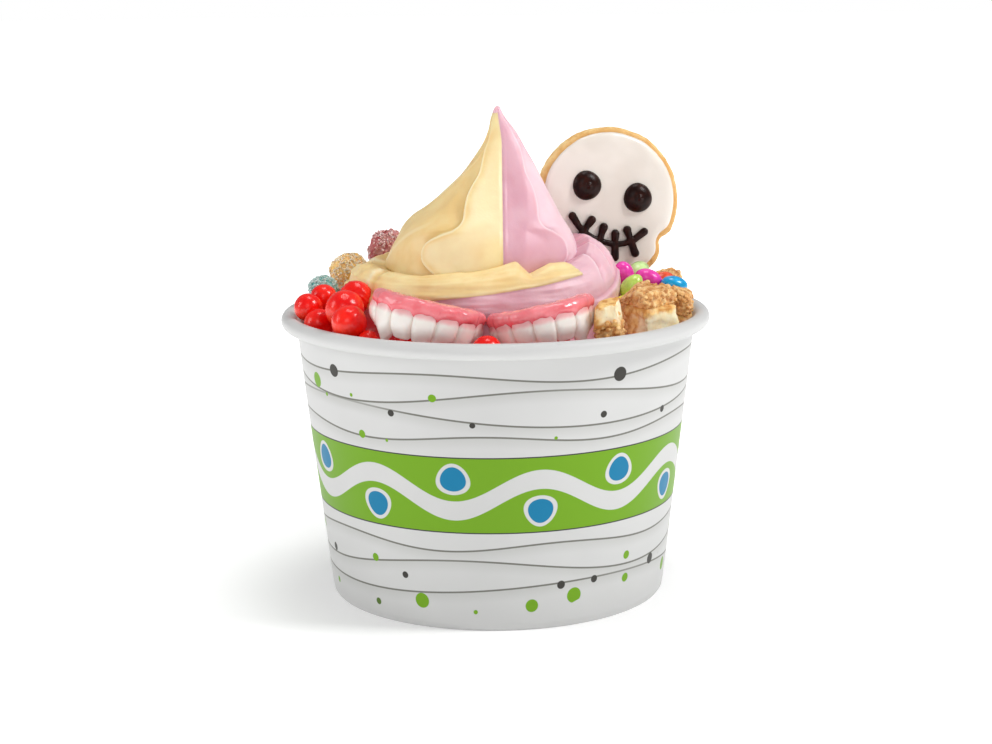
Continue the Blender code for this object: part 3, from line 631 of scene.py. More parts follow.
def crestRelief(bearing, height, reach):
    # the push outwards, then how much highlight and how much shade are painted: the bulge on the seam's
    # side of a crest ends in a sharp fold beyond it, and the highlight also raises a thin lip along the
    # crest
    line, slope = crestLine(height)
    frontYellow, frontPink = -90 < bearing < 0, 0 < bearing < 90
    if frontYellow:
        line *= 0.91
    arc = reach * math.radians(1)
    along = (line - abs((bearing + 90) % 180 - 90)) * arc
    away = along / math.sqrt(1 + (slope * arc) ** 2)
    fade = smoothStep(0.0, 0.016, swirl["tip"].z - height) * smoothStep(0.0722, 0.0745, height)
    strength = 1.0 if abs(bearing) < 90 else 0.85
    ridge = hill(away, 0.00024)
    if away > 0:
        out = swirl["crestHeight"] * (1 - smoothStep(0, 0.0062, along))
    else:
        cliff = smoothStep(0, -0.0008, away)
        back = smoothStep(-0.0008, -0.0058, along)
        out = swirl["crestHeight"] * (1 - cliff) - swirl["crestGroove"] * cliff * (1 - back)
    hollow = hill(away + 0.0008, 0.0009) * fade
    if frontPink:  # painted shade in the valley here, and a painted highlight beyond the crest; on the yellow side, painted shade beyond the crest and a painted highlight on the belly
        hollow = max(hollow, 0.66 * smoothStep(-0.0002, 0.0006, away))
        ridge = max(ridge, 0.62 * smoothStep(-0.0002, -0.0014, away))
    elif frontYellow:
        hollow = max(hollow, 0.38 * smoothStep(0.0002, -0.0008, away))
        ridge = max(ridge, 0.50 * smoothStep(0.0002, 0.0018, away) * smoothStep(0.0150, 0.0080, along))
    return (out + 0.00016 * ridge) * fade * strength, ridge * fade, hollow


def coilPlace(bearing, angle, column):
    # reach and height on the coil, from its outer foot over the crown, and how much highlight and shade
    # are painted there
    bands = swirl["bands"]
    width, rise = column["width"], column["rise"]
    turn = math.radians(angle)
    reach = column["reach"] - width + width * math.cos(turn)
    height = column["top"] - rise + rise * math.sin(turn)
    height += column["lip"] * smoothStep(35, 84, angle)
    out, ridge, hollow = 0.0, 0.0, 0.0
    # each fold is a crease with shade painted in it and a highlight painted along one edge
    for middle, lean, depth, spread, first in swirl["folds"]:
        away = (bearing - middle - lean * (angle - 40) + 180) % 360 - 180
        if abs(away) < 3 * spread:
            weight = smoothStep(first - 12, first + 12, angle)
            out -= depth * weight * hill(away, spread if away > 0 else spread * 0.45)
            ridge += 0.85 * weight * hill(away + spread * 0.9, spread * 0.45)
            hollow += 0.9 * weight * hill(away, spread * 0.55)
    # the ribbon of yellow stands a little proud of what it lies on, with shade painted over its lower
    # part and a highlight painted along its lower edge
    ribbon = within(bearing, bands["ribbon"])
    aboveSeam = angle - column["seamAngle"]
    overSeam = ribbon * smoothStep(-2.0, 2.5, aboveSeam)
    out += 0.00045 * overSeam
    hollow += 0.32 * overSeam * smoothStep(34, 8, aboveSeam)
    patchy = 0.5 + 0.5 * wobble(Vector((bearing, 0, 0)), 7)
    ridge += 0.5 * ribbon * hill(aboveSeam - 3.5, 3.0) * patchy
    # the right lobe is lapped by the coil's own end, along a slanting edge, with shade painted just above
    # the edge and a highlight painted on the lapping end just below it
    lap = within(bearing, bands["lap"])
    aboveLap = angle - (bearing - 46) * 0.52
    out += 0.0006 * lap * smoothStep(1.5, -1.5, aboveLap)
    hollow += 0.7 * lap * hill(aboveLap - 2.0, 2.6)
    ridge += 0.6 * lap * hill(aboveLap + 3.0, 2.2)
    # two stacked ribs round the left side, with shade painted in the groove between them
    ribs = within(bearing, bands["ribs"])
    aboveRib = angle - 24 - 6 * math.sin(math.radians(bearing * 3))
    out -= 0.0006 * ribs * hill(aboveRib, 9)
    hollow += 0.5 * ribs * hill(aboveRib, 6)
    return reach + out * math.cos(turn), height + out * math.sin(turn), ridge, hollow


def readColumn(number):  # what the dictionary says of one bearing
    bearing = number * 360 / swirl["columns"]
    bearing = bearing - 360 if bearing > 180 else bearing
    names = {
        "width": "coilWidth", "rise": "coilHeight", "reach": "coilReach", "top": "coilTop",
        "fillTop": "fillTop", "shelf": "shelf",
    }
    column = {key: around(swirl[name], bearing) for key, name in names.items()}
    ratio = (around(swirl["seam"], bearing) - column["top"] + column["rise"]) / column["rise"]
    column["bearing"] = bearing
    column["seamAngle"] = math.degrees(math.asin(min(max(ratio, -0.40), 0.92)))
    column["lip"] = straightAt(swirl["lip"], bearing)
    crownReach, crown, _, _ = coilPlace(bearing, swirl["coilCrown"], column)
    deeper = 0.0006 * within(bearing, swirl["bands"]["deepCrease"])
    column["crease"] = crown - swirl["creaseDrop"] - deeper
    column["creaseReach"] = min(crownReach - 0.0007, peakReach(bearing, column["crease"]) - 0.0005)
    return column


def fillPoint(column, row):
    out = heading(column["bearing"])
    share = row / swirl["rows"]["fill"]
    edge = out * insideWall(column["fillTop"])
    spot = edge.lerp(swirl["axis"] + out * (column["reach"] + swirl["skirt"]), share)
    height = column["fillTop"] + (column["shelf"] - column["fillTop"]) * share
    rough = lumps(spot, (0.0075, 0.0006, 5), (0.0028, 0.0002, 9))
    height += rough * within(share, (0, 0.15, 0.85, 1.0))
    # painted shade where the fill runs in under the coil
    return spot + lift(height), 0.0, 0.6 * smoothStep(0.75, 1.0, share)


def coilPoint(column, row):
    bearing, seam, bands = column["bearing"], column["seamAngle"], swirl["bands"]
    lowRows, highRows = swirl["rows"]["lowCoil"], swirl["rows"]["highCoil"]
    foot, crown = swirl["coilFoot"], swirl["coilCrown"]
    if row <= lowRows:
        angle = foot + (seam - foot) * row / lowRows
    else:
        angle = seam + (crown - seam) * (row - lowRows) / highRows
    reach, height, ridge, hollow = coilPlace(bearing, angle, column)
    out = heading(bearing)
    spot = swirl["axis"] + out * reach + lift(height)
    soft = lumps(spot, (0.006, 0.00022, 1), (0.0022, 0.00008, 2))
    drag = wobble(Vector((bearing * 0.035, angle * 0.075, 0)), 1.0, 21)
    drag += 0.5 * wobble(Vector((bearing * 0.09, angle * 0.16, 0)), 1.0, 23)
    soft += 0.00030 * drag * smoothStep(-20, 0, angle) * (1 - 0.6 * smoothStep(40, 55, bearing))
    ragged = within(bearing, bands["ragged"]) * smoothStep(10, 30, angle)
    soft += ragged * lumps(spot, (0.0040, 0.00055, 31), (0.0015, 0.00022, 33))
    turn = math.radians(angle)
    away = out * math.cos(turn) + lift(math.sin(turn))
    last = lowRows + highRows
    # painted shade in the crease under the peak and at the coil's foot
    hollow += 0.8 * smoothStep(last - 3, last, row) + 0.6 * smoothStep(6, 0, row)
    return spot + away * soft, ridge, hollow


def peakPoint(column, row):
    bearing, tip, bands = column["bearing"], swirl["tip"], swirl["bands"]
    out = heading(bearing)
    height = column["crease"] + (tip.z - column["crease"]) * row / swirl["rows"]["peak"]
    reach = peakReach(bearing, height)
    relief, ridge, hollow = crestRelief(bearing, height, reach)
    fromSeam = ((bearing + 90) % 180 - 90) * reach * math.radians(1)
    fade = smoothStep(0.0, 0.02, tip.z - height)
    relief -= 0.00034 * hill(fromSeam, 0.0005) * fade
    if 0 < bearing < 90:  # the pink side is hollowed beside the seam
        relief -= 0.0005 * within(fromSeam, (0, 0.0012, 0.0018, 0.0055)) * fade
    flank = within(bearing, bands["flank"]) * fade
    sway = 1.4 * wobble(out * reach + lift(height), 0.02, 17)
    flute = math.sin(bearing * 0.13 - height * 420 + sway)
    relief += 0.00030 * flank * flute
    # a highlight painted on the crests of the flutes
    ridge = max(ridge, 0.45 * flank * smoothStep(0.90, 1.0, flute))
    lean = smoothStep(swirl["leanStart"], tip.z, height)
    middle = swirl["axis"].lerp(Vector((tip.x, tip.y, 0)), lean)
    point = middle + out * reach + lift(height)
    relief += lumps(point, (0.009, 0.00022, 4), (0.003, 0.00006, 6)) * fade
    torn = within(bearing, bands["torn"]) * smoothStep(0.0790, 0.0755, height)
    fray = wobble(point, 0.0014, 8)
    relief += torn * (0.0003 + 0.0005 * fray)
    # a highlight painted on the torn edge's raised bits
    ridge = max(ridge, 0.8 * torn * smoothStep(0.0, 0.4, fray))
    # painted shade at the peak's foot and along the seam
    hollow += 0.9 * smoothStep(3, 0, row)
    hollow += 0.55 * hill(fromSeam, 0.0008) * smoothStep(0.098, 0.084, height)
    return point + out * relief, ridge, hollow


def swirlPlace(column, row):
    # place of one point of the skin, from the cup's floor up to the tip, and how much highlight and shade
    # are painted there
    rows, out = swirl["rows"], heading(column["bearing"])
    coilRows = rows["lowCoil"] + rows["highCoil"]
    if row == 0:
        floor = swirl["fillFloor"]
        return out * insideWall(floor) + lift(floor), 0.0, 0.0
    row -= rows["wall"]
    if row <= rows["fill"]:
        return fillPoint(column, row)
    row -= rows["fill"] + rows["foot"]
    if row <= coilRows:
        return coilPoint(column, row)
    row -= coilRows + rows["crease"]
    if row == 0:
        # the crease is painted in full shade
        return swirl["axis"] + out * column["creaseReach"] + lift(column["crease"]), 0.0, 1.0
    return peakPoint(column, row)


def flavourAt(bearing, row):
    rows, onLeft = swirl["rows"], bearing < 0
    seamRow = rows["wall"] + rows["fill"] + rows["foot"] + rows["lowCoil"]
    creaseRow = seamRow + rows["highCoil"] + rows["crease"]
    if row > creaseRow:
        rise = swirl["tip"].z - swirl["peakFoot"]
        nearTip = (row - creaseRow) / rows["peak"] * rise > rise - swirl["pinkTip"]
        return "yellow" if onLeft and not nearTip else "pink"
    return "yellow" if row > seamRow and (onLeft or bearing < swirl["ribbonEnd"]) else "pink"


def buildSwirl(finishes):
    rowCount = sum(swirl["rows"].values())
    bm = spun([(1, row) for row in range(rowCount + 1)], swirl["columns"])
    # where a highlight and where shade are painted on the yogurt
    ridgeHighlightLayer = newLayer(bm, "ridge")
    hollowShadeLayer = newLayer(bm, "hollow")
    for face in bm.faces:
        middle = face.calc_center_median()
        flavour = flavourAt(bearingOf(middle.x, middle.y), middle.z)
        face.material_index = int(flavour == "yellow")
    columns = [readColumn(number) for number in range(swirl["columns"])]
    step = 360 / swirl["columns"]
    for vert in bm.verts:
        number = round(bearingOf(vert.co.x, vert.co.y) / step) % swirl["columns"]
        vert.co, ridge, hollow = swirlPlace(columns[number], round(vert.co.z))
        vert[ridgeHighlightLayer] = min(ridge, 1.0)
        vert[hollowShadeLayer] = min(hollow, 1.0)
    top = [vert for vert in bm.verts if vert.co.z > swirl["tip"].z - 1e-6]
    bmesh.ops.pointmerge(bm, verts=top, merge_co=swirl["tip"])
    bmesh.ops.dissolve_degenerate(bm, edges=bm.edges, dist=1e-8)
    bottom = [edge for edge in bm.edges if edge.is_boundary]
    bmesh.ops.edgeloop_fill(bm, edges=bottom)
    bmesh.ops.recalc_face_normals(bm, faces=bm.faces)
    whole = bpy.data.meshes.new("swirl")
    bm.to_mesh(whole)
    bm.free()
    for index, flavour in enumerate(("pink", "yellow")):
        part = bmesh.new()
        part.from_mesh(whole)
        others = [face for face in part.faces if face.material_index != index]
        bmesh.ops.delete(part, geom=others, context="FACES")
        for face in part.faces:
            face.material_index = 0
        rim = [edge for edge in part.edges if edge.is_boundary]
        made = bmesh.ops.extrude_edge_only(part, edges=rim)["geom"]
        inner = [item for item in made if isinstance(item, bmesh.types.BMVert)]
        bmesh.ops.pointmerge(part, verts=inner, merge_co=swirl["cores"][flavour])
        node = f"yogurt_{flavour}"
        addPiece("yogurt" + flavour.capitalize(), part, 60, finishes[flavour], node, node)
    bpy.data.meshes.remove(whole)


def makeYogurt(name, edge, light, middle, shade, stained):
    scatter = (0.22, (1.0, 0.62, 0.42), 0.0022)
    cream = Finish(name, {"Specular IOR Level": 0.42}, scatter)
    ridge, hollow = cream.attribute("ridge"), cream.attribute("hollow")
    colour = cream.mottle(middle, light, 170, 3)
    # painted shade in hollows and folds, and a painted highlight along crests and edges and on some faces
    # the light falls on; edge is the painted highlight's colour and shade the painted shade's
    colour = cream.blend(hollow * 0.75, colour, shade)
    colour = cream.blend(ridge * 0.85, colour, edge)
    roughness = 0.33 + cream.noise(700, 3) * 0.14
    if stained:  # juice from the sweets has run into its left and front
        x, y, z = cream.axes()
        front = (y * -1).rise(0.0270, 0.0330) * z.fall(0.0596, 0.0622)
        left = (x * -1).rise(0.015, 0.021) * (y * -1).rise(-0.020, -0.006) * z.fall(0.0630, 0.0668)
        run = front.most(left) * cream.noise(230, 3).rise(0.22, 0.50)
        colour = cream.blend(run * 0.9, colour, tint(214, 40, 48))
        roughness = roughness - run * 0.25
    cream.feed("Base Color", colour)
    cream.feed("Roughness", roughness)
    grain = cream.noise(2600, 2) * 0.30 + cream.noise(900, 3) * 0.5 + cream.cells(1300) * 0.25
    cream.bump(grain, 0.00010, 0.45)
    return cream


flavours = {
    # whether juice has stained it, then the painted highlight of its crests, its light and dark patches,
    # and the painted shade of its folds
    "pink": (True, tint(250, 222, 229), tint(241, 200, 210), tint(232, 181, 194), tint(205, 142, 159)),
    "yellow": (False, tint(255, 241, 204), tint(252, 228, 170), tint(244, 211, 147), tint(222, 184, 112)),
}
buildSwirl({
    flavour: makeYogurt(f"{flavour}Yogurt", *tints, stained)
    for flavour, (stained, *tints) in flavours.items()
})
print("soft serve done")


# ---- red jelly balls: thin skins full of juice, some dented where they press together
jellyBalls = {
    "count": 15,
    "wrinkled": (6, 7),
    # how much larger than its place a ball is drawn, and the fullest ones
    "swell": 1.05,
    "fullest": {3: 1.14, 5: 1.14},
}


def makeJelly():
    return layered(
        "redJelly",
        {"Roughness": 0.24, "Specular IOR Level": 0.40, "Coat Weight": 0.08, "Coat Roughness": 0.16},
        scatter=(0.35, (1.0, 0.10, 0.06), 0.0025),
        patches=(tint(238, 4, 6), tint(255, 34, 20), 260, 2, 0.35, 0.65),
        # the lower left is painted lighter and orange, a painted glow of light through the juice
        overs=(("lower", 0.35, tint(254, 84, 40)),),
        grains=((420, 2, 1.0),),
        bump=(0.00014, 0.35),
    )


def buildJellyBalls(finish):
    for number in range(1, jellyBalls["count"] + 1):
        node = f"jelly_ball_{number}"
        centre, half = readBox(node)
        full = half.z * jellyBalls["fullest"].get(number, jellyBalls["swell"])
        bm = bmesh.new()
        paintedGlowLayer = newLayer(bm, "lower")
        bmesh.ops.create_icosphere(bm, subdivisions=5, radius=half.z)
        for vert in bm.verts:
            out = vert.co.normalized()
            reach = full * (1 + 0.035 * wobble(vert.co, 0.0038, number))
            if number in jellyBalls["wrinkled"]:  # a slack skin folds in long ridges
                bend = wobble(vert.co, 0.004, number + 20)
                reach *= 1 - 0.05 * abs(math.sin(7 * out.z + 5 * bend + 3 * out.x)) ** 0.6
            reach -= 0.00010 * smoothStep(0.2, 0.6, wobble(vert.co, 0.002, number + 40))
            vert.co = out * min(reach, full * 1.03)
            # painted glow: lighter towards the lower left
            vert[paintedGlowLayer] = smoothStep(0.25, -0.8, out.z + 0.45 * out.x)
        bmesh.ops.translate(bm, verts=bm.verts, vec=centre)
        addPiece(f"jellyBall{number}", bm, 180, finish, "jelly_red", node)


buildJellyBalls(makeJelly())
print("jelly balls done")


# ---- gummies rolled in sugar
gummies = {
    # light and dark of the gummy, and how many grains of sugar stick to it
    "teal": (tint(126, 196, 190), tint(56, 138, 136), 520),
    "orange": (tint(255, 216, 136), tint(255, 176, 56), 620),
    "cherry": (tint(204, 74, 84), tint(132, 10, 18), 640),
    "lime": (tint(176, 206, 92), tint(104, 156, 40), 640),
    "lemon": (tint(248, 220, 110), tint(226, 182, 40), 640),
    "rose": (tint(226, 104, 120), tint(176, 40, 62), 600),
}
grainSize = 0.00042


def makeGummy(name, light, dark):
    gummy = Finish(name, {}, (0.4, (1.0, 0.6, 0.4), 0.0018))
    dusted = gummy.noise(520, 3).rise(0.40, 0.60)
    colour = gummy.blend(gummy.noise(300, 2), dark, light)
    gummy.feed("Base Color", gummy.blend(dusted * 0.25, colour, tint(244, 238, 230)))
    gummy.feed("Roughness", 0.3 + dusted * 0.4)
    gummy.bump(gummy.noise(1500, 3) + gummy.cells(1900) * 0.6, 0.00022, 0.7)
    return gummy


def makeSugar():
    sugar = Finish("sugar", {"Roughness": 0.16}, (0.5, (1, 1, 1), 0.0006))
    below = sugar.node("Attribute", {"attribute_name": "stain"}, {}, "Color")
    shade = sugar.attribute("shade")
    clear = sugar.blend(shade, tint(232, 224, 214), tint(255, 253, 250))
    sugar.feed("Base Color", sugar.blend(shade * -0.35 + 0.72, clear, below))
    return sugar


def sprinkle(target, faces, count, colour):
    # little crystal blocks, half sunk in the faces they land on
    shadeLayer = target.verts.layers.float["shade"]
    stainLayer = target.verts.layers.float_color["stain"]
    areas = [face.calc_area() for face in faces]
    for face in random.choices(faces, areas, k=count):
        corners = [vert.co for vert in face.verts]
        weights = [random.random() + 0.05 for _ in corners]
        spot = sum((co * w for co, w in zip(corners, weights)), Vector()) / sum(weights)
        lean = Matrix.Rotation(random.uniform(0, 6.3), 4, face.normal)
        tip = random.uniform(-0.9, 0.9)
        lean = Matrix.Rotation(tip, 4, Vector((random.random(), random.random(), 1))) @ lean
        sides = (grainSize * random.uniform(0.6, 1.25) for _ in range(3))
        stretch = Matrix.Diagonal((*sides, 1))
        place = Matrix.Translation(spot + face.normal * grainSize * 0.15)
        grain = bmesh.ops.create_cube(target, size=1, matrix=place @ lean @ stretch)
        shade = random.random()
        for vert in grain["verts"]:
            vert[shadeLayer] = shade
            vert[stainLayer] = colour


def buildGummies(sugarFinish):
    grains = bmesh.new()
    newLayer(grains, "shade")
    grains.verts.layers.float_color.new("stain")
    bare = Vector((0.7, -0.5, 0.2)).normalized()  # the side that the sugar has rubbed off
    for number, (kind, (light, dark, count)) in enumerate(gummies.items(), 1):
        node = f"sugared_gummy_{kind}"
        centre, half = readBox(node)
        bm = bmesh.new()
        bmesh.ops.create_icosphere(bm, subdivisions=5, radius=1)
        for vert in bm.verts:
            out = vert.co.normalized()
            place = out * half
            rough = lumps(place, (0.0034, 0.10, number), (0.0014, 0.05, number + 9))
            rough -= 0.10 * smoothStep(0.3, 0.9, abs(wobble(out, 0.9, number + 3)))
            vert.co = place * (0.93 + rough)
        bmesh.ops.translate(bm, verts=bm.verts, vec=centre)
        bm.normal_update()
        dusty = [
            face for face in bm.faces
            if wobble(face.calc_center_median(), 0.0030, number + 5) + 0.35 > 0
            or (kind != "cherry" and face.normal.dot(bare) < 0.8)
        ]
        sprinkle(grains, dusty, count, light)
        finish = makeGummy(f"{kind}Gummy", light, dark)
        addPiece(f"{kind}Gummy", bm, 180, finish, f"gummy_{kind}", node)
    addPiece("sugarGrains", grains, 20, sugarFinish, "gummy_lemon")


buildGummies(makeSugar())
print("sugared gummies done")


# ---- sugar shell candies
candies = {
    # colours of the shell, then each candy's name, turn and pitch
    "magenta": (tint(238, 56, 170), (("magenta_1", 10, -70), ("magenta_2", -15, -12))),
    "green": (tint(184, 216, 96), (("green_1", 0, 50), ("green_2", 100, 0))),
    "pale_green": (tint(190, 222, 146), (("pale_green", 60, 20),)),
    "orange": (tint(232, 74, 36), (("orange_1", 10, 20), ("orange_2", -50, 0))),
    "blue": (tint(0, 160, 218), (("blue_1", 0, -5), ("blue_2", 30, 10))),
    "yellow": (tint(236, 224, 74), (("yellow_1", -40, 20), ("yellow_2", 75, 12))),
}
candyHalf = Vector((0.0031, 0.0024, 0.0021))


def makeShell(name, colour):
    lighter = tuple(min(1.0, value * 1.35 + 0.02) for value in colour[:3]) + (1.0,)
    darker = tuple(value * 0.95 for value in colour[:3]) + (1.0,)
    return layered(
        name,
        {"Roughness": 0.22, "Specular IOR Level": 0.4, "Coat Weight": 0.35, "Coat Roughness": 0.08},
        scatter=(0.12, (1, 0.6, 0.5), 0.0008),
        patches=(darker, lighter, 600, 3),
        specks=((1100, 2, 0.72, 0.76, 0.4, tint(246, 240, 232)),),
        grains=((700, 2, 1.0), (2400, 2, 0.2)),
        bump=(0.00005, 0.5),
    )


def buildCandies():
    for tone, (colour, drops) in candies.items():
        finish = makeShell(tone.replace("_g", "G") + "Shell", colour)
        for number, (name, turn, pitch) in enumerate(drops, 1):
            centre, _ = readBox(f"candy_{name}")
            bm = bmesh.new()
            bmesh.ops.create_uvsphere(bm, u_segments=48, v_segments=32, radius=1)
            move(bm, Matrix.Rotation(math.radians(90), 4, "Y"))
            for vert in bm.verts:
                taper = 1 - 0.10 * vert.co.x  # one end is a little blunter
                vert.co.y *= taper
                vert.co.z *= taper
                vert.co *= 1 + 0.02 * wobble(vert.co, 1.1, number + len(name))
            bmesh.ops.scale(bm, vec=candyHalf, verts=bm.verts)
            move(bm, Matrix.Translation(centre) @ turned((0, -pitch, turn)))
            label = "candy" + "".join(word.capitalize() for word in name.split("_"))
            addPiece(label, bm, 180, finish, f"candy_{tone}", f"candy_{name}")


buildCandies()
print("candies done")


# ---- cake bites: pale sponge with a layer of brown crumb
bites = {
    # place, half size, turn, tilt, share that is crumb, crumb on top, number of crumbs
    1: ((0.0239, -0.0322, 0.0656), (0.0030, 0.0036, 0.0039), -8, 4, 0.40, False, 170),
    2: ((0.0325, -0.0182, 0.0656), (0.0056, 0.0050, 0.0047), -53, 3, 0.33, True, 460),
    3: ((0.0410, -0.0076, 0.0647), (0.0024, 0.0033, 0.0034), -12, 0, 0.72, True, 190),
    4: ((0.0393, 0.0028, 0.0630), (0.0036, 0.0040, 0.0029), 4, 0, 0.40, False, 110),
    5: ((0.0308, 0.0257, 0.0655), (0.0035, 0.0032, 0.0040), 40, 3, 0.40, False, 110),
    6: ((0.0390, 0.0118, 0.0654), (0.0030, 0.0033, 0.0040), 18, 0, 0.34, True, 190),
}


crumbs = {
    "knobSize": (0.00030, 0.00072),
    "grain": 0.00014,
    "climb": 0.0030,
    # how much narrower than the sponge the crumb is where it lies on top, and where it lies below
    "insets": (0.93, 0.99),
    "looseCount": 190,
    "looseSize": (0.00014, 0.00042),
    # the bearing round which the loose ones lie, and how widely
    "looseBearing": (72, 30),
}


def makeSponge():
    sponge = Finish("creamSponge", {"Roughness": 0.62}, (0.25, (1.0, 0.7, 0.4), 0.0012))
    baked = sponge.attribute("baked")
    pores = sponge.cells(1500)
    soft = sponge.noise(500, 4)
    colour = sponge.blend(soft.rise(0.3, 0.7), tint(252, 230, 186), tint(255, 246, 216))
    golden = sponge.mottle(tint(212, 146, 68), tint(246, 204, 128), 560, 4, 0.38, 0.62)
    # golden where the sponge is baked, on the top of the lower pieces and by the crumb, and as painted
    # shade on the faces turned to the left and the left part of the lower pieces
    colour = sponge.blend((baked + (soft - 0.5) * 1.5).rise(0.22, 0.85), colour, golden)
    # painted shade in the pores
    poreShade = (0.22 - pores).rise(0.0, 0.2)
    sponge.feed("Base Color", sponge.blend(poreShade * 0.5, colour, tint(214, 178, 120)))
    sponge.bump(pores * 0.5 + sponge.noise(1400, 4) * 0.6, 0.00018, 0.5)
    return sponge


def makeCrumb():
    crumb = Finish("brownCrumb", {"Roughness": 0.5, "Coat Weight": 0.12, "Coat Roughness": 0.35})
    stops = (
        (0.30, tint(184, 114, 50)), (0.44, tint(220, 154, 82)),
        (0.57, tint(240, 184, 110)), (0.72, tint(254, 218, 156)),
    )
    colour = crumb.node("ValToRGB", {"stops": stops}, {"Fac": crumb.noise(620, 4)})
    grain = crumb.axes(crumb.cells(1150, "Color"))[0]
    colour = crumb.blend(grain.rise(0.45, 1.0) * 0.5, colour, tint(255, 226, 166))
    colour = crumb.blend((1 - grain).rise(0.55, 1.0) * 0.45, colour, tint(172, 106, 48))
    # painted shade in the pits between the crumbs
    crumb.feed("Base Color", crumb.blend(crumb.attribute("pit") * 0.7, colour, tint(152, 90, 40)))
    crumb.bump(crumb.noise(1700, 4) + crumb.cells(1400) * 0.6, 0.00028, 0.8)
    return crumb


def roughBlock(half, low, high, seed, cuts):
    bm = bmesh.new()
    bmesh.ops.create_cube(bm, size=2)
    bmesh.ops.scale(bm, vec=(half[0], half[1], (high - low) / 2), verts=bm.verts)
    bmesh.ops.translate(bm, vec=(0, 0, (high + low) / 2), verts=bm.verts)
    bmesh.ops.bevel(
        bm, geom=bm.edges[:], offset=0.26 * min(*half, high - low), affect="EDGES",
        segments=3, profile=0.5, material=-1,
    )
    bmesh.ops.subdivide_edges(bm, edges=bm.edges[:], cuts=cuts, use_grid_fill=True)
    bm.normal_update()
    for vert in bm.verts:
        layers = (0.0042, 1.1, seed), (0.0016, 0.55, seed + 2), (0.0007, 0.25, seed + 4)
        vert.co += vert.normal * 0.00055 * lumps(vert.co, *layers)
    return bm


def taperBlock(bm, half, number):  # no bite is cut square
    for vert in bm.verts:
        up = (vert.co.z + half[2]) / (2 * half[2])
        right, left = (0.46, 0.12) if number in (1, 5) else (0.07, 0.10)
        vert.co.x *= 1 - (right if vert.co.x > 0 else left) * up
        vert.co.y *= 1 - 0.08 * up
        vert.co.z += 0.0005 * math.sin(vert.co.x / half[0] * 1.4 + number) * up


def addCrumbs(bm, half, low, high, count, spill, climb):
    # knobs of crumb over the top, some further up the sides, and, where it spills, down the front
    for _ in range(count):
        size = random.uniform(*crumbs["knobSize"])
        x, y = (random.uniform(-1, 1) * (half[k] - 0.2 * size) for k in (0, 1))
        z = high + random.uniform(-0.35, 0.15) * size
        side = random.random()
        if side < 0.45:
            z = random.uniform(low + size * 0.4, high + climb * random.random())
            if random.random() < 0.5:
                x = math.copysign(half[0] - 0.1 * size, x)
            else:
                y = math.copysign(half[1] - 0.1 * size, y)
        if spill and side > 0.66:
            y, z = -half[1] + 0.1 * size, random.uniform(-half[2] * 0.95, high)
            x = random.uniform(-1, -0.15) * half[0]
        lump = bmesh.ops.create_icosphere(bm, subdivisions=2, radius=size)
        squeeze = Vector((random.uniform(0.8, 1.2), random.uniform(0.8, 1.2), random.uniform(0.65, 1.0)))
        seed = random.uniform(0, 50)
        for vert in lump["verts"]:
            vert.co *= 1 + 0.25 * wobble(vert.co, size * 1.1, seed)
            vert.co = vert.co * squeeze + Vector((x, y, z))


def spongeLayer(number, half, span, split, onTop):
    bm = roughBlock(half, *span, number, 12)
    bakedAndShadeLayer = newLayer(bm, "baked")
    bm.normal_update()
    for vert in bm.verts:
        right = vert.co.x / half[0]
        # painted shade: golden on the faces turned to the left
        shadedSide = smoothStep(0.2, 0.9, -vert.normal.x)
        if number == 2:
            shadedSide = smoothStep(0.2, 0.9, -vert.normal.y) * (0.45 + 0.55 * smoothStep(0.9, -0.2, right))
        toCrumb = 0.85 * hill(vert.co.z - split, 0.0020)
        baked = [shadedSide, toCrumb]
        if not onTop:
            # a baked top, and painted shade over the left part
            baked += [smoothStep(0.3, 0.9, vert.normal.z), 0.6 * smoothStep(0.3, -0.8, right)]
        vert[bakedAndShadeLayer] = max(baked)
    return bm


def crumbLayer(number, half, span, split, onTop, count):
    inset = crumbs["insets"][0 if onTop else 1]
    inner = [half[0] * inset, half[1] * inset, half[2]]
    bm = roughBlock(inner, *span, number + 30, 6)
    addCrumbs(bm, inner, *span, count, number == 2, 0.0 if onTop else crumbs["climb"])
    bm = fused(bm, crumbs["grain"], 1)
    pitShadeLayer = newLayer(bm, "pit")
    bm.normal_update()
    for vert in bm.verts:
        # how deep each point lies among its neighbours, for the painted shade in the pits
        sides = ((edge.other_vert(vert).co - vert.co).normalized() for edge in vert.link_edges)
        vert[pitShadeLayer] = smoothStep(0.0, 0.9, sum(side.dot(vert.normal) for side in sides))
    for vert in bm.verts:
        vert.co += vert.normal * 0.00010 * wobble(vert.co, 0.0006, number)
        if number == 2:  # its left corner has crumbled away
            corner = smoothStep(0.4, 1.7, -vert.co.x / half[0] - vert.co.y / half[1])
            vert.co.z -= 0.75 * corner * max(0.0, vert.co.z - split)
    return bm


def buildBites(spongeFinish, crumbFinish):
    for number, (place, half, turn, tilt, share, onTop, count) in bites.items():
        thick = 2 * half[2] * share
        split = half[2] - thick if onTop else thick - half[2]
        lower, upper = (-half[2], split), (split, half[2])
        spongeSpan, crumbSpan = (lower, upper) if onTop else (upper, lower)
        carrier = Matrix.Translation(place) @ turned((tilt, 0, turn))
        sponge = spongeLayer(number, half, spongeSpan, split, onTop)
        crumb = crumbLayer(number, half, crumbSpan, split, onTop, count)
        layers = (("cream", sponge, 50, spongeFinish), ("crumb", crumb, 180, crumbFinish))
        for kind, bm, sharpAngle, finish in layers:
            taperBlock(bm, half, number)
            move(bm, carrier)
            name = f"cake{kind.capitalize()}{number}"
            addPiece(name, bm, sharpAngle, finish, f"cake_{kind}", f"cake_{kind}_{number}")


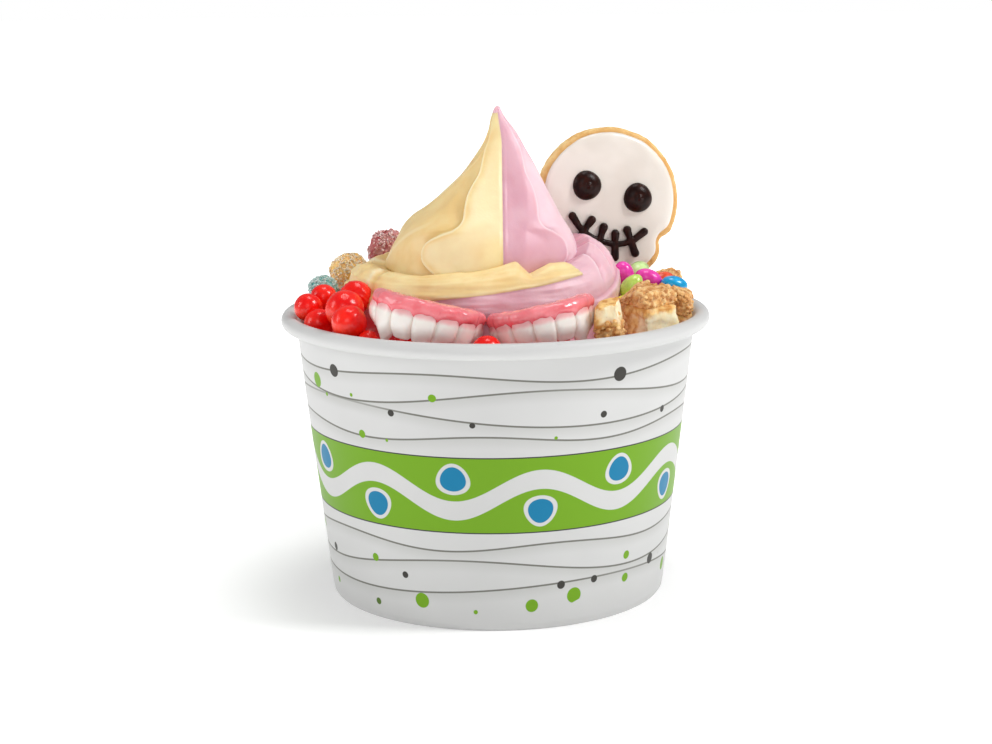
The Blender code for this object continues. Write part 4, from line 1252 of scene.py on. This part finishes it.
def buildLooseCrumbs(crumbFinish):
    # crumbs that fell on the soft serve between the bites, and a few further off
    bm = bmesh.new()
    for _ in range(crumbs["looseCount"]):
        bearing = random.gauss(*crumbs["looseBearing"])
        column = readColumn(round(bearing / 360 * swirl["columns"]) % swirl["columns"])
        place, _, _ = fillPoint(column, random.randint(2, swirl["rows"]["fill"] - 2))
        size = random.uniform(*crumbs["looseSize"])
        lump = bmesh.ops.create_icosphere(bm, subdivisions=2, radius=size)
        seed = random.uniform(0, 50)
        for vert in lump["verts"]:
            vert.co = place + vert.co * (1 + 0.3 * wobble(vert.co, size, seed)) + lift(0.3 * size)
    addPiece("looseCrumbs", bm, 180, crumbFinish, "cake_crumb")


crumbFinish = makeCrumb()
buildBites(makeSponge(), crumbFinish)
buildLooseCrumbs(crumbFinish)
print("cake bites done")


# ---- gummy dentures: a gum band and the row of teeth that hangs from it
dentures = {
    "archRadius": 0.0126,
    "gumDepth": 0.0048,
    "gumHeight": 0.0036,
    "toothDepth": 0.0040,
    "toothLength": 0.0050,
    "fangLength": 0.0065,
    # each tooth spans two of these bearings
    "toothEdges": (-80, -60, -36, -12, 12, 36, 60, 80),
    "fangs": (36, 60),
    "rootHeight": 0.0012,
    "lean": 0.0006,
    "stations": 150,
    # place of the arch's centre, then pitch, tilt and turn, and scale
    "left": ((-0.01435, -0.0263, 0.0665), (-6, 13.5, -2), 1.0),
    "right": ((0.00975, -0.0266, 0.0656), (-5.5, -12.0, 2), 0.94),
}


def acrossTooth(bearing):  # -1 to 1 over each tooth, and the bearing of its middle
    edges = dentures["toothEdges"]
    for left, right in zip(edges, edges[1:]):
        if bearing <= right + 1e-6:
            break
    return (bearing - (left + right) / 2) / ((right - left) / 2), (left + right) / 2


def gumRing(bearing, seed):
    across, _ = acrossTooth(bearing)
    ends = math.sqrt(max(0.0, 1 - max(0.0, (abs(bearing) - 72) / 8.6) ** 2))
    halfDepth = dentures["gumDepth"] / 2
    points = []
    steps = 28
    for k in range(steps):
        turn = math.tau * k / steps
        side, up = math.cos(turn), math.sin(turn)
        wide = math.copysign(abs(side) ** 0.72, side)
        tall = math.copysign(abs(up) ** 0.80, up)
        reach = dentures["archRadius"] - halfDepth + halfDepth * ends * wide
        height = dentures["gumHeight"] * (0.5 + 0.5 * ends * tall)
        spot = heading(bearing) * reach + lift(height)
        rough = lumps(spot, (0.0030, 0.00028, seed), (0.0012, 0.00016, seed + 4))
        # the gum comes down between the teeth, and sits forward over each root
        front = max(0.0, side)
        height += rough * up - 0.0013 * max(0.0, -up) * front * abs(across) ** 2.5
        reach += rough * side + 0.00025 * (1 - across**2) * front * (1 - abs(up))
        points.append(heading(bearing) * reach + lift(height))
    return points


def toothLength(size, middle, seed):  # size is how far from the tooth's middle, up to 1
    if dentures["fangs"][0] < abs(middle) < dentures["fangs"][1]:
        length = dentures["fangLength"] * (1 - 0.36 * size**1.3)
    else:
        length = dentures["toothLength"] * (0.80 if abs(middle) > 60 else 1.0) * (1 - 0.16 * size**5)
    return length * (1 + 0.05 * math.sin(middle * 1.7 + seed))


def toothRing(bearing, seed):
    across, middle = acrossTooth(bearing)
    size = abs(across)
    length = toothLength(size, middle, seed)
    root, lean = dentures["rootHeight"], dentures["lean"]
    plump = (1 - size**6) ** 0.5 if size < 1 else 0.0
    face = dentures["archRadius"] - 0.0012 + 0.0010 * plump
    back = dentures["archRadius"] - dentures["toothDepth"] + 0.0006 * (1 - plump)
    face = back + (face - back) * (0.35 + 0.65 * smoothStep(80.5, 77, abs(bearing)))
    profile = []
    for share in (k / 11 for k in range(12)):  # down the face
        belly = 0.00028 * math.sin(math.pi * min(1.0, share * 1.15))
        profile.append((face + belly - 0.0014 * share**5, root - (length + root) * share))
    half = (profile[-1][0] - back - lean) / 2
    for turn in (math.pi * k / 6 for k in range(1, 6)):  # round the biting edge
        reach = back + lean + half + half * math.cos(turn)
        profile.append((reach, -length - 0.00055 * math.sin(turn)))
    for share in (k / 6 for k in range(7)):  # up the back
        profile.append((back + lean * (1 - share), -length + (length + root) * share))
    points = []
    for reach, height in profile:
        spot = heading(bearing) * reach + lift(height)
        points.append(spot + heading(bearing) * 0.00010 * wobble(spot, 0.0024, seed + 11))
    return points


def makeGum():
    return layered(
        "pinkGum",
        {"Roughness": 0.26, "Coat Weight": 0.55, "Coat Roughness": 0.12},
        scatter=(0.3, (1.0, 0.3, 0.3), 0.0018),
        patches=(tint(236, 92, 104), tint(246, 128, 136), 330, 3),
        # the gum is painted lighter towards its top, a painted highlight where light falls on it
        overs=(("up", 0.45, tint(248, 158, 164)),),
        grains=((620, 3, 1.0), (1900, 2, 0.35)),
        bump=(0.00022, 0.55),
    )


def makeTeeth():
    teeth = Finish(
        "whiteGummy", {"Roughness": 0.28, "Coat Weight": 0.35, "Coat Roughness": 0.15},
        (0.35, (1.0, 0.75, 0.65), 0.0016),
    )
    colour = teeth.blend(teeth.noise(300, 3), tint(250, 238, 230), tint(255, 249, 243))
    # painted shade down each tooth's sides, between the teeth
    colour = teeth.blend(teeth.attribute("groove") * 0.3, colour, tint(230, 208, 196))
    # the gum's pink bleeds a little way down each tooth
    bleed = (teeth.attribute("up") + (teeth.noise(600, 2) - 0.5) * 0.4).rise(0.25, 1.0)
    teeth.feed("Base Color", teeth.blend(bleed * 0.75, colour, tint(244, 150, 156)))
    teeth.bump(teeth.noise(500, 3) + teeth.noise(1700, 2) * 0.3, 0.00012, 0.45)
    return teeth


def buildDentures(gumFinish, teethFinish):
    first, last = dentures["toothEdges"][0], dentures["toothEdges"][-1]
    count = dentures["stations"]
    stations = [first + (last - first) * k / count for k in range(count + 1)]
    kinds = (
        # name, ring and finish, and the heights between which its "up" grows
        ("gum", gumRing, gumFinish, (0.0, dentures["gumHeight"])),
        ("teeth", toothRing, teethFinish, (-0.0017, 0.0008)),
    )
    for side, seed in (("left", 3), ("right", 8)):
        place, turns, scale = dentures[side]
        carrier = Matrix.Translation(place) @ turned(turns) @ Matrix.Scale(scale, 4)
        for kind, ringAt, finish, (low, high) in kinds:
            bm = bmesh.new()
            upLayer = newLayer(bm, "up")
            grooveShadeLayer = newLayer(bm, "groove")
            ringStack(bm, [ringAt(bearing, seed) for bearing in stations])
            for vert in bm.verts:
                bearing = bearingOf(vert.co.x, vert.co.y)
                across, _ = acrossTooth(min(max(bearing, first + 0.1), last - 0.1))
                vert[upLayer] = smoothStep(low, high, vert.co.z)
                vert[grooveShadeLayer] = smoothStep(0.82, 1.0, abs(across))
            move(bm, carrier)
            addPiece(kind + side.capitalize(), bm, 70, finish, f"gummy_{kind}", f"{kind}_{side}")


buildDentures(makeGum(), makeTeeth())
print("dentures done")


# ---- skull cookie, drawn in its own upright plane: x across, z up, its back at y 0
cookie = {
    "place": (0.0252, 0.0209, 0.0857),
    "turns": (-5, 16, 13),
    "skullRadius": 0.0171,
    "skullCentre": Vector((0.0005, -0.0004)),
    "skullArc": 9,
    "cheekAndJaw": (
        (0.0164, -0.0046), (0.0151, -0.0063), (0.0157, -0.0084), (0.0156, -0.0106), (0.0144, -0.0130),
        (0.0126, -0.0152), (0.0114, -0.0178), (0.0098, -0.0203), (0.0070, -0.0216), (0.0030, -0.0220),
    ),
    "points": 300,
    # insets up to this follow the outline, and beyond it the lines shrink to the core
    "margin": 0.0032,
    "core": Vector((0.0003, -0.0030)),
    "coreReach": 0.0145,
    "evening": 11000,
    # inset from the outline, and depth, from back to front
    "biscuit": (
        (0.0166, 0.0), (0.0110, 0.0), (0.0050, 0.0), (0.0022, 0.0), (0.0011, -0.0001),
        (0.0004, -0.0005), (0.0001, -0.0012), (0.0, -0.0021), (0.0001, -0.0030), (0.0004, -0.0038),
        (0.0010, -0.0043), (0.0022, -0.0044), (0.0050, -0.0044), (0.0110, -0.0044), (0.0166, -0.0044),
    ),
    "icing": (
        (0.0016, -0.0040), (0.0012, -0.0045), (0.0010, -0.0049), (0.0011, -0.0053), (0.0014, -0.0056),
        (0.0018, -0.00577), (0.0023, -0.00589), (0.0028, -0.00597), (0.0032, -0.0060), (0.0080, -0.0060),
        (0.0135, -0.0060), (0.0166, -0.0060), (0.0173, -0.0060),
    ),
    "icingShift": Vector((-0.00045, 0.00015)),
    "icingScale": 0.972,
    "front": -0.0060,
    "eyeRadius": 0.0034,
    "eyes": ((-0.0062, 0.0016), (0.0064, 0.0018)),
    "bead": 0.00072,
    "smile": (
        (-0.0080, -0.0060), (-0.0058, -0.0080), (-0.0038, -0.0091), (-0.0019, -0.0097), (0.0003, -0.0100),
        (0.0035, -0.0100), (0.0057, -0.0092), (0.0077, -0.0079), (0.0097, -0.0054),
    ),
    "stitches": (
        ((-0.0033, -0.0058), (-0.0054, -0.0112)), ((-0.0001, -0.0067), (-0.0003, -0.0118)),
        ((0.0030, -0.0075), (0.0043, -0.0128)), ((0.0056, -0.0060), (0.0088, -0.0107)),
    ),
}


def skullOutline(inset):
    arc, centre = cookie["skullArc"], cookie["skullCentre"]
    rough = []
    for k in range(19):
        angle = math.radians(-arc + (180 + 2 * arc) * k / 18)
        rough.append(centre + cookie["skullRadius"] * Vector((math.cos(angle), math.sin(angle))))
    rough += [Vector((-x, y)) for x, y in cookie["cheekAndJaw"]]
    rough += [Vector(point) for point in reversed(cookie["cheekAndJaw"])]
    fine = []
    for k in range(cookie["points"]):
        spot = k / cookie["points"] * len(rough)
        index = int(spot)
        near = [rough[(index + step) % len(rough)] for step in (-1, 0, 1, 2)]
        fine.append(catmull(*near, spot - index))
    near = min(inset, cookie["margin"])
    moved = []
    for k, point in enumerate(fine):
        along = fine[(k + 2) % len(fine)] - fine[k - 2]
        moved.append(point + Vector((-along.y, along.x)).normalized() * near)
    for _ in range(round(near * cookie["evening"])):  # inner lines round off the outline's corners
        moved = [
            (before + 2 * here + after) / 4
            for before, here, after in zip(moved[-1:] + moved, moved, moved[1:] + moved[:1])
        ]
    return [point.lerp(cookie["core"], (inset - near) / cookie["coreReach"]) for point in moved]


def slab(rings, edgeWave, seed, scale=1.0, shift=Vector((0, 0))):
    bm = bmesh.new()
    stack = []
    for inset, depth in rings:
        fade = smoothStep(0.0060, 0.0015, inset)
        ring = []
        for x, z in (point * scale + shift for point in skullOutline(inset)):
            spot = Vector((x, depth, z))
            sway = lumps(spot, (0.0060, edgeWave, seed), (0.0018, 0.4 * edgeWave, seed + 2))
            ring.append(spot + Vector((x, 0, z)).normalized() * sway * fade)
        stack.append(ring)
    ringStack(bm, stack)
    return bm


def makeBiscuit():
    return layered(
        "bakedBiscuit",
        {"Roughness": 0.68},
        scatter=(),
        patches=(tint(228, 178, 104), tint(248, 216, 152), 360, 4, 0.32, 0.68),
        overs=(("browned", 0.7, tint(216, 158, 82)),),
        specks=((1500, 3, 0.62, 0.72, 0.35, tint(172, 108, 50)),),
        grains=((1100, 4, 1.0),),
        pores=((900, 0.5),),
        bump=(0.00034, 0.7),
    )


def makeIcing():
    return layered(
        "whiteIcing",
        {"Roughness": 0.30, "Coat Weight": 0.2, "Coat Roughness": 0.2},
        scatter=(0.15, (1, 0.85, 0.7), 0.001),
        patches=(tint(230, 222, 212), tint(239, 232, 223), 110, 2, 0.35, 0.65),
        overs=(("rim", 0.35, tint(226, 206, 180)),),
        grains=((180, 2, 1.0), (900, 2, 0.12)),
        bump=(0.00018, 0.5),
    )


def makeChocolate():
    return layered(
        "darkChocolate",
        {"Roughness": 0.33, "Specular IOR Level": 0.18},
        scatter=(),
        patches=(tint(24, 3, 0), tint(48, 15, 6), 700, 4, 0.35, 0.75),
        grains=((900, 3, 1.0), (2800, 2, 0.3)),
        bump=(0.00010, 0.6),
    )


def bead(bm, points, radii):  # a piped line: round blobs close enough to run together
    for start, end, first, last in zip(points, points[1:], radii, radii[1:]):
        steps = max(2, math.ceil((Vector(end) - Vector(start)).length / 0.00022))
        for share in (k / steps for k in range(steps + 1)):
            x, z = Vector(start).lerp(Vector(end), share)
            radius = first + (last - first) * share
            radius *= 1 + 0.07 * wobble(Vector((x, 0, z)), 0.0011, 31)
            place = Matrix.Translation((x, cookie["front"] - radius * 0.62, z))
            bmesh.ops.create_icosphere(bm, subdivisions=2, radius=radius, matrix=place)


def buildBiscuit(carrier):
    bm = slab(cookie["biscuit"], 0.00022, 5)
    brownedLayer = newLayer(bm, "browned")
    bm.normal_update()
    for vert in bm.verts:
        vert.co += vert.normal * 0.00014 * wobble(vert.co, 0.0011, 7)
        depth = vert.co.y
        vert[brownedLayer] = smoothStep(-0.0034, -0.0042, depth) + smoothStep(-0.0012, -0.0002, depth)
    move(bm, carrier)
    addPiece("cookieBiscuit", bm, 70, makeBiscuit(), "biscuit", "cookie")


def buildIcing(carrier):
    bm = slab(cookie["icing"], 0.00020, 12, cookie["icingScale"], cookie["icingShift"])
    rimLayer = newLayer(bm, "rim")
    for vert in bm.verts:
        vert[rimLayer] = smoothStep(-0.0056, -0.0046, vert.co.y)
        vert.co.y = max(vert.co.y + 0.00008 * wobble(vert.co, 0.008, 15), cookie["front"] - 0.0001)
    move(bm, carrier)
    addPiece("cookieIcing", bm, 70, makeIcing(), "icing", "cookie_icing")


def buildEyes(carrier, chocolate):
    radius = cookie["eyeRadius"]
    for number, (x, z) in enumerate(cookie["eyes"], 1):
        bm = bmesh.new()
        bmesh.ops.create_uvsphere(bm, u_segments=64, v_segments=48, radius=radius)
        for vert in bm.verts:
            flat = vert.co.to_2d().length / radius
            edge = 1 + 0.018 * math.sin(3 * math.atan2(vert.co.y, vert.co.x) + number)
            rise = vert.co.z * 0.12
            if vert.co.z > 0:  # the drop ends in a little peak
                peak = 0.00032 * hill(flat, 0.13) - 0.00010 * hill(flat - 0.28, 0.10)
                rise = vert.co.z * 0.62 + peak
            vert.co = Vector((vert.co.x * edge, vert.co.y * edge, rise))
        upright = Matrix.Rotation(math.radians(90), 4, "X")
        move(bm, carrier @ Matrix.Translation((x, cookie["front"] + 0.0001, z)) @ upright)
        addPiece(f"cookieEye{number}", bm, 180, chocolate, "chocolate", f"cookie_eye_{number}")


def buildMouth(carrier, chocolate):
    bm = bmesh.new()
    radius = cookie["bead"]
    smileRadii = [radius * part for part in (1.35, 1.1, 1, 1, 1, 1, 1, 1.1, 1.35)]
    bead(bm, cookie["smile"], smileRadii)
    stitchRadii = [radius * part for part in (1.45, 1.12, 1.25, 1.40)]
    for top, bottom in cookie["stitches"]:
        line = [Vector(top).lerp(Vector(bottom), share) for share in (0.0, 0.3, 0.6, 1.0)]
        bead(bm, line, stitchRadii)
    move(bm, carrier)
    addPiece("cookieMouth", fused(bm, 0.00012, 3), 180, chocolate, "chocolate", "cookie_mouth")


def buildCookie():
    carrier = Matrix.Translation(cookie["place"]) @ turned(cookie["turns"])
    buildBiscuit(carrier)
    buildIcing(carrier)
    chocolate = makeChocolate()
    buildEyes(carrier, chocolate)
    buildMouth(carrier, chocolate)


buildCookie()
print("cookie done")


# ---- camera, light and floor
camera = {
    "target": Vector((0, 0, 0.04883)),
    "distance": 0.46144,
    "elevation": 11.105,
    "roll": -0.596,
    "lens": 74.0,
    "sensor": 36.0,
    "clip": (0.01, 10),
}

studio = {
    "roomLight": 0.30,
    # the floor's own glow near the cup and far off, and where it starts and stops rising
    "floorGlow": (0.43, 1.1, 0.10, 0.50),
    # how much of it is left where the cup stands, and where that shade starts and ends
    "contact": (0.35, 0.030, 0.080),
    "floorSize": 6,
    # name, place, size, power
    "lights": (
        ("keyRight", (0.42, -0.12, 0.50), (0.14, 0.18), 1.9),
        ("fillLeft", (-0.52, -0.10, 0.28), (0.20, 0.30), 0.75),
        ("overhead", (0.02, 0.06, 0.62), (0.20, 0.20), 0.7),
        ("front", (-0.06, -0.56, 0.34), (0.24, 0.24), 0.38),
    ),
}


def aimed(direction):
    return direction.to_track_quat("-Z", "Y").to_matrix().to_4x4()


def buildCamera():
    data = bpy.data.cameras.new("camera")
    data.lens, data.sensor_width = camera["lens"], camera["sensor"]
    data.clip_start, data.clip_end = camera["clip"]
    viewer = link("camera", data)
    angle = math.radians(camera["elevation"])
    back = Vector((0, -math.cos(angle), math.sin(angle)))
    viewer.location = camera["target"] + back * camera["distance"]
    roll = Matrix.Rotation(math.radians(camera["roll"]), 4, "Z")
    viewer.rotation_euler = (aimed(-back) @ roll).to_euler()
    bpy.context.scene.camera = viewer


def buildLights():
    for name, place, size, power in studio["lights"]:
        data = bpy.data.lights.new(name, "AREA")
        data.shape = "RECTANGLE"
        data.size, data.size_y = size
        data.energy = power
        lamp = link(name, data)
        lamp.location = place
        lamp.rotation_euler = aimed(camera["target"] - Vector(place)).to_euler()


def buildRoom():
    # what is seen of the room is white, and what it lights with is dimmer
    world = bpy.data.worlds.new("studio")
    world.use_nodes = True
    nodes, links = world.node_tree.nodes, world.node_tree.links
    sky = nodes["Background"]
    sky.inputs["Color"].default_value = (1, 1, 1, 1)
    seen = nodes.new("ShaderNodeLightPath")
    level = nodes.new("ShaderNodeMapRange")
    level.inputs["To Min"].default_value = studio["roomLight"]
    level.inputs["To Max"].default_value = 1.0
    links.new(seen.outputs["Is Camera Ray"], level.inputs["Value"])
    links.new(level.outputs["Result"], sky.inputs["Strength"])
    bpy.context.scene.world = world


def buildFloor():
    nearGlow, farGlow, start, end = studio["floorGlow"]
    left, shadeStart, shadeEnd = studio["contact"]
    finish = Finish("floor", {"Roughness": 0.9, "Specular IOR Level": 0.0, "Emission Strength": 1.0})
    away = finish.length(finish.place)
    glow = away.rise(start, end) * (farGlow - nearGlow) + nearGlow
    glow = glow * (away.rise(shadeStart, shadeEnd) * (1 - left) + left)
    finish.feed("Emission Color", finish.vector(glow, glow, glow))
    speck = finish.noise(3, 1)
    finish.feed("Base Color", finish.blend(speck, (0.96, 0.96, 0.96, 1), (0.98, 0.98, 0.98, 1)))
    bm = bmesh.new()
    bmesh.ops.create_grid(bm, x_segments=2, y_segments=2, size=studio["floorSize"])
    mesh = meshFrom(bm, "floor")
    mesh.materials.append(finish.material)
    link("floor", mesh)


bpy.context.scene.view_settings.view_transform = "Standard"
buildCamera()
buildLights()
buildRoom()
buildFloor()
print("scene done")
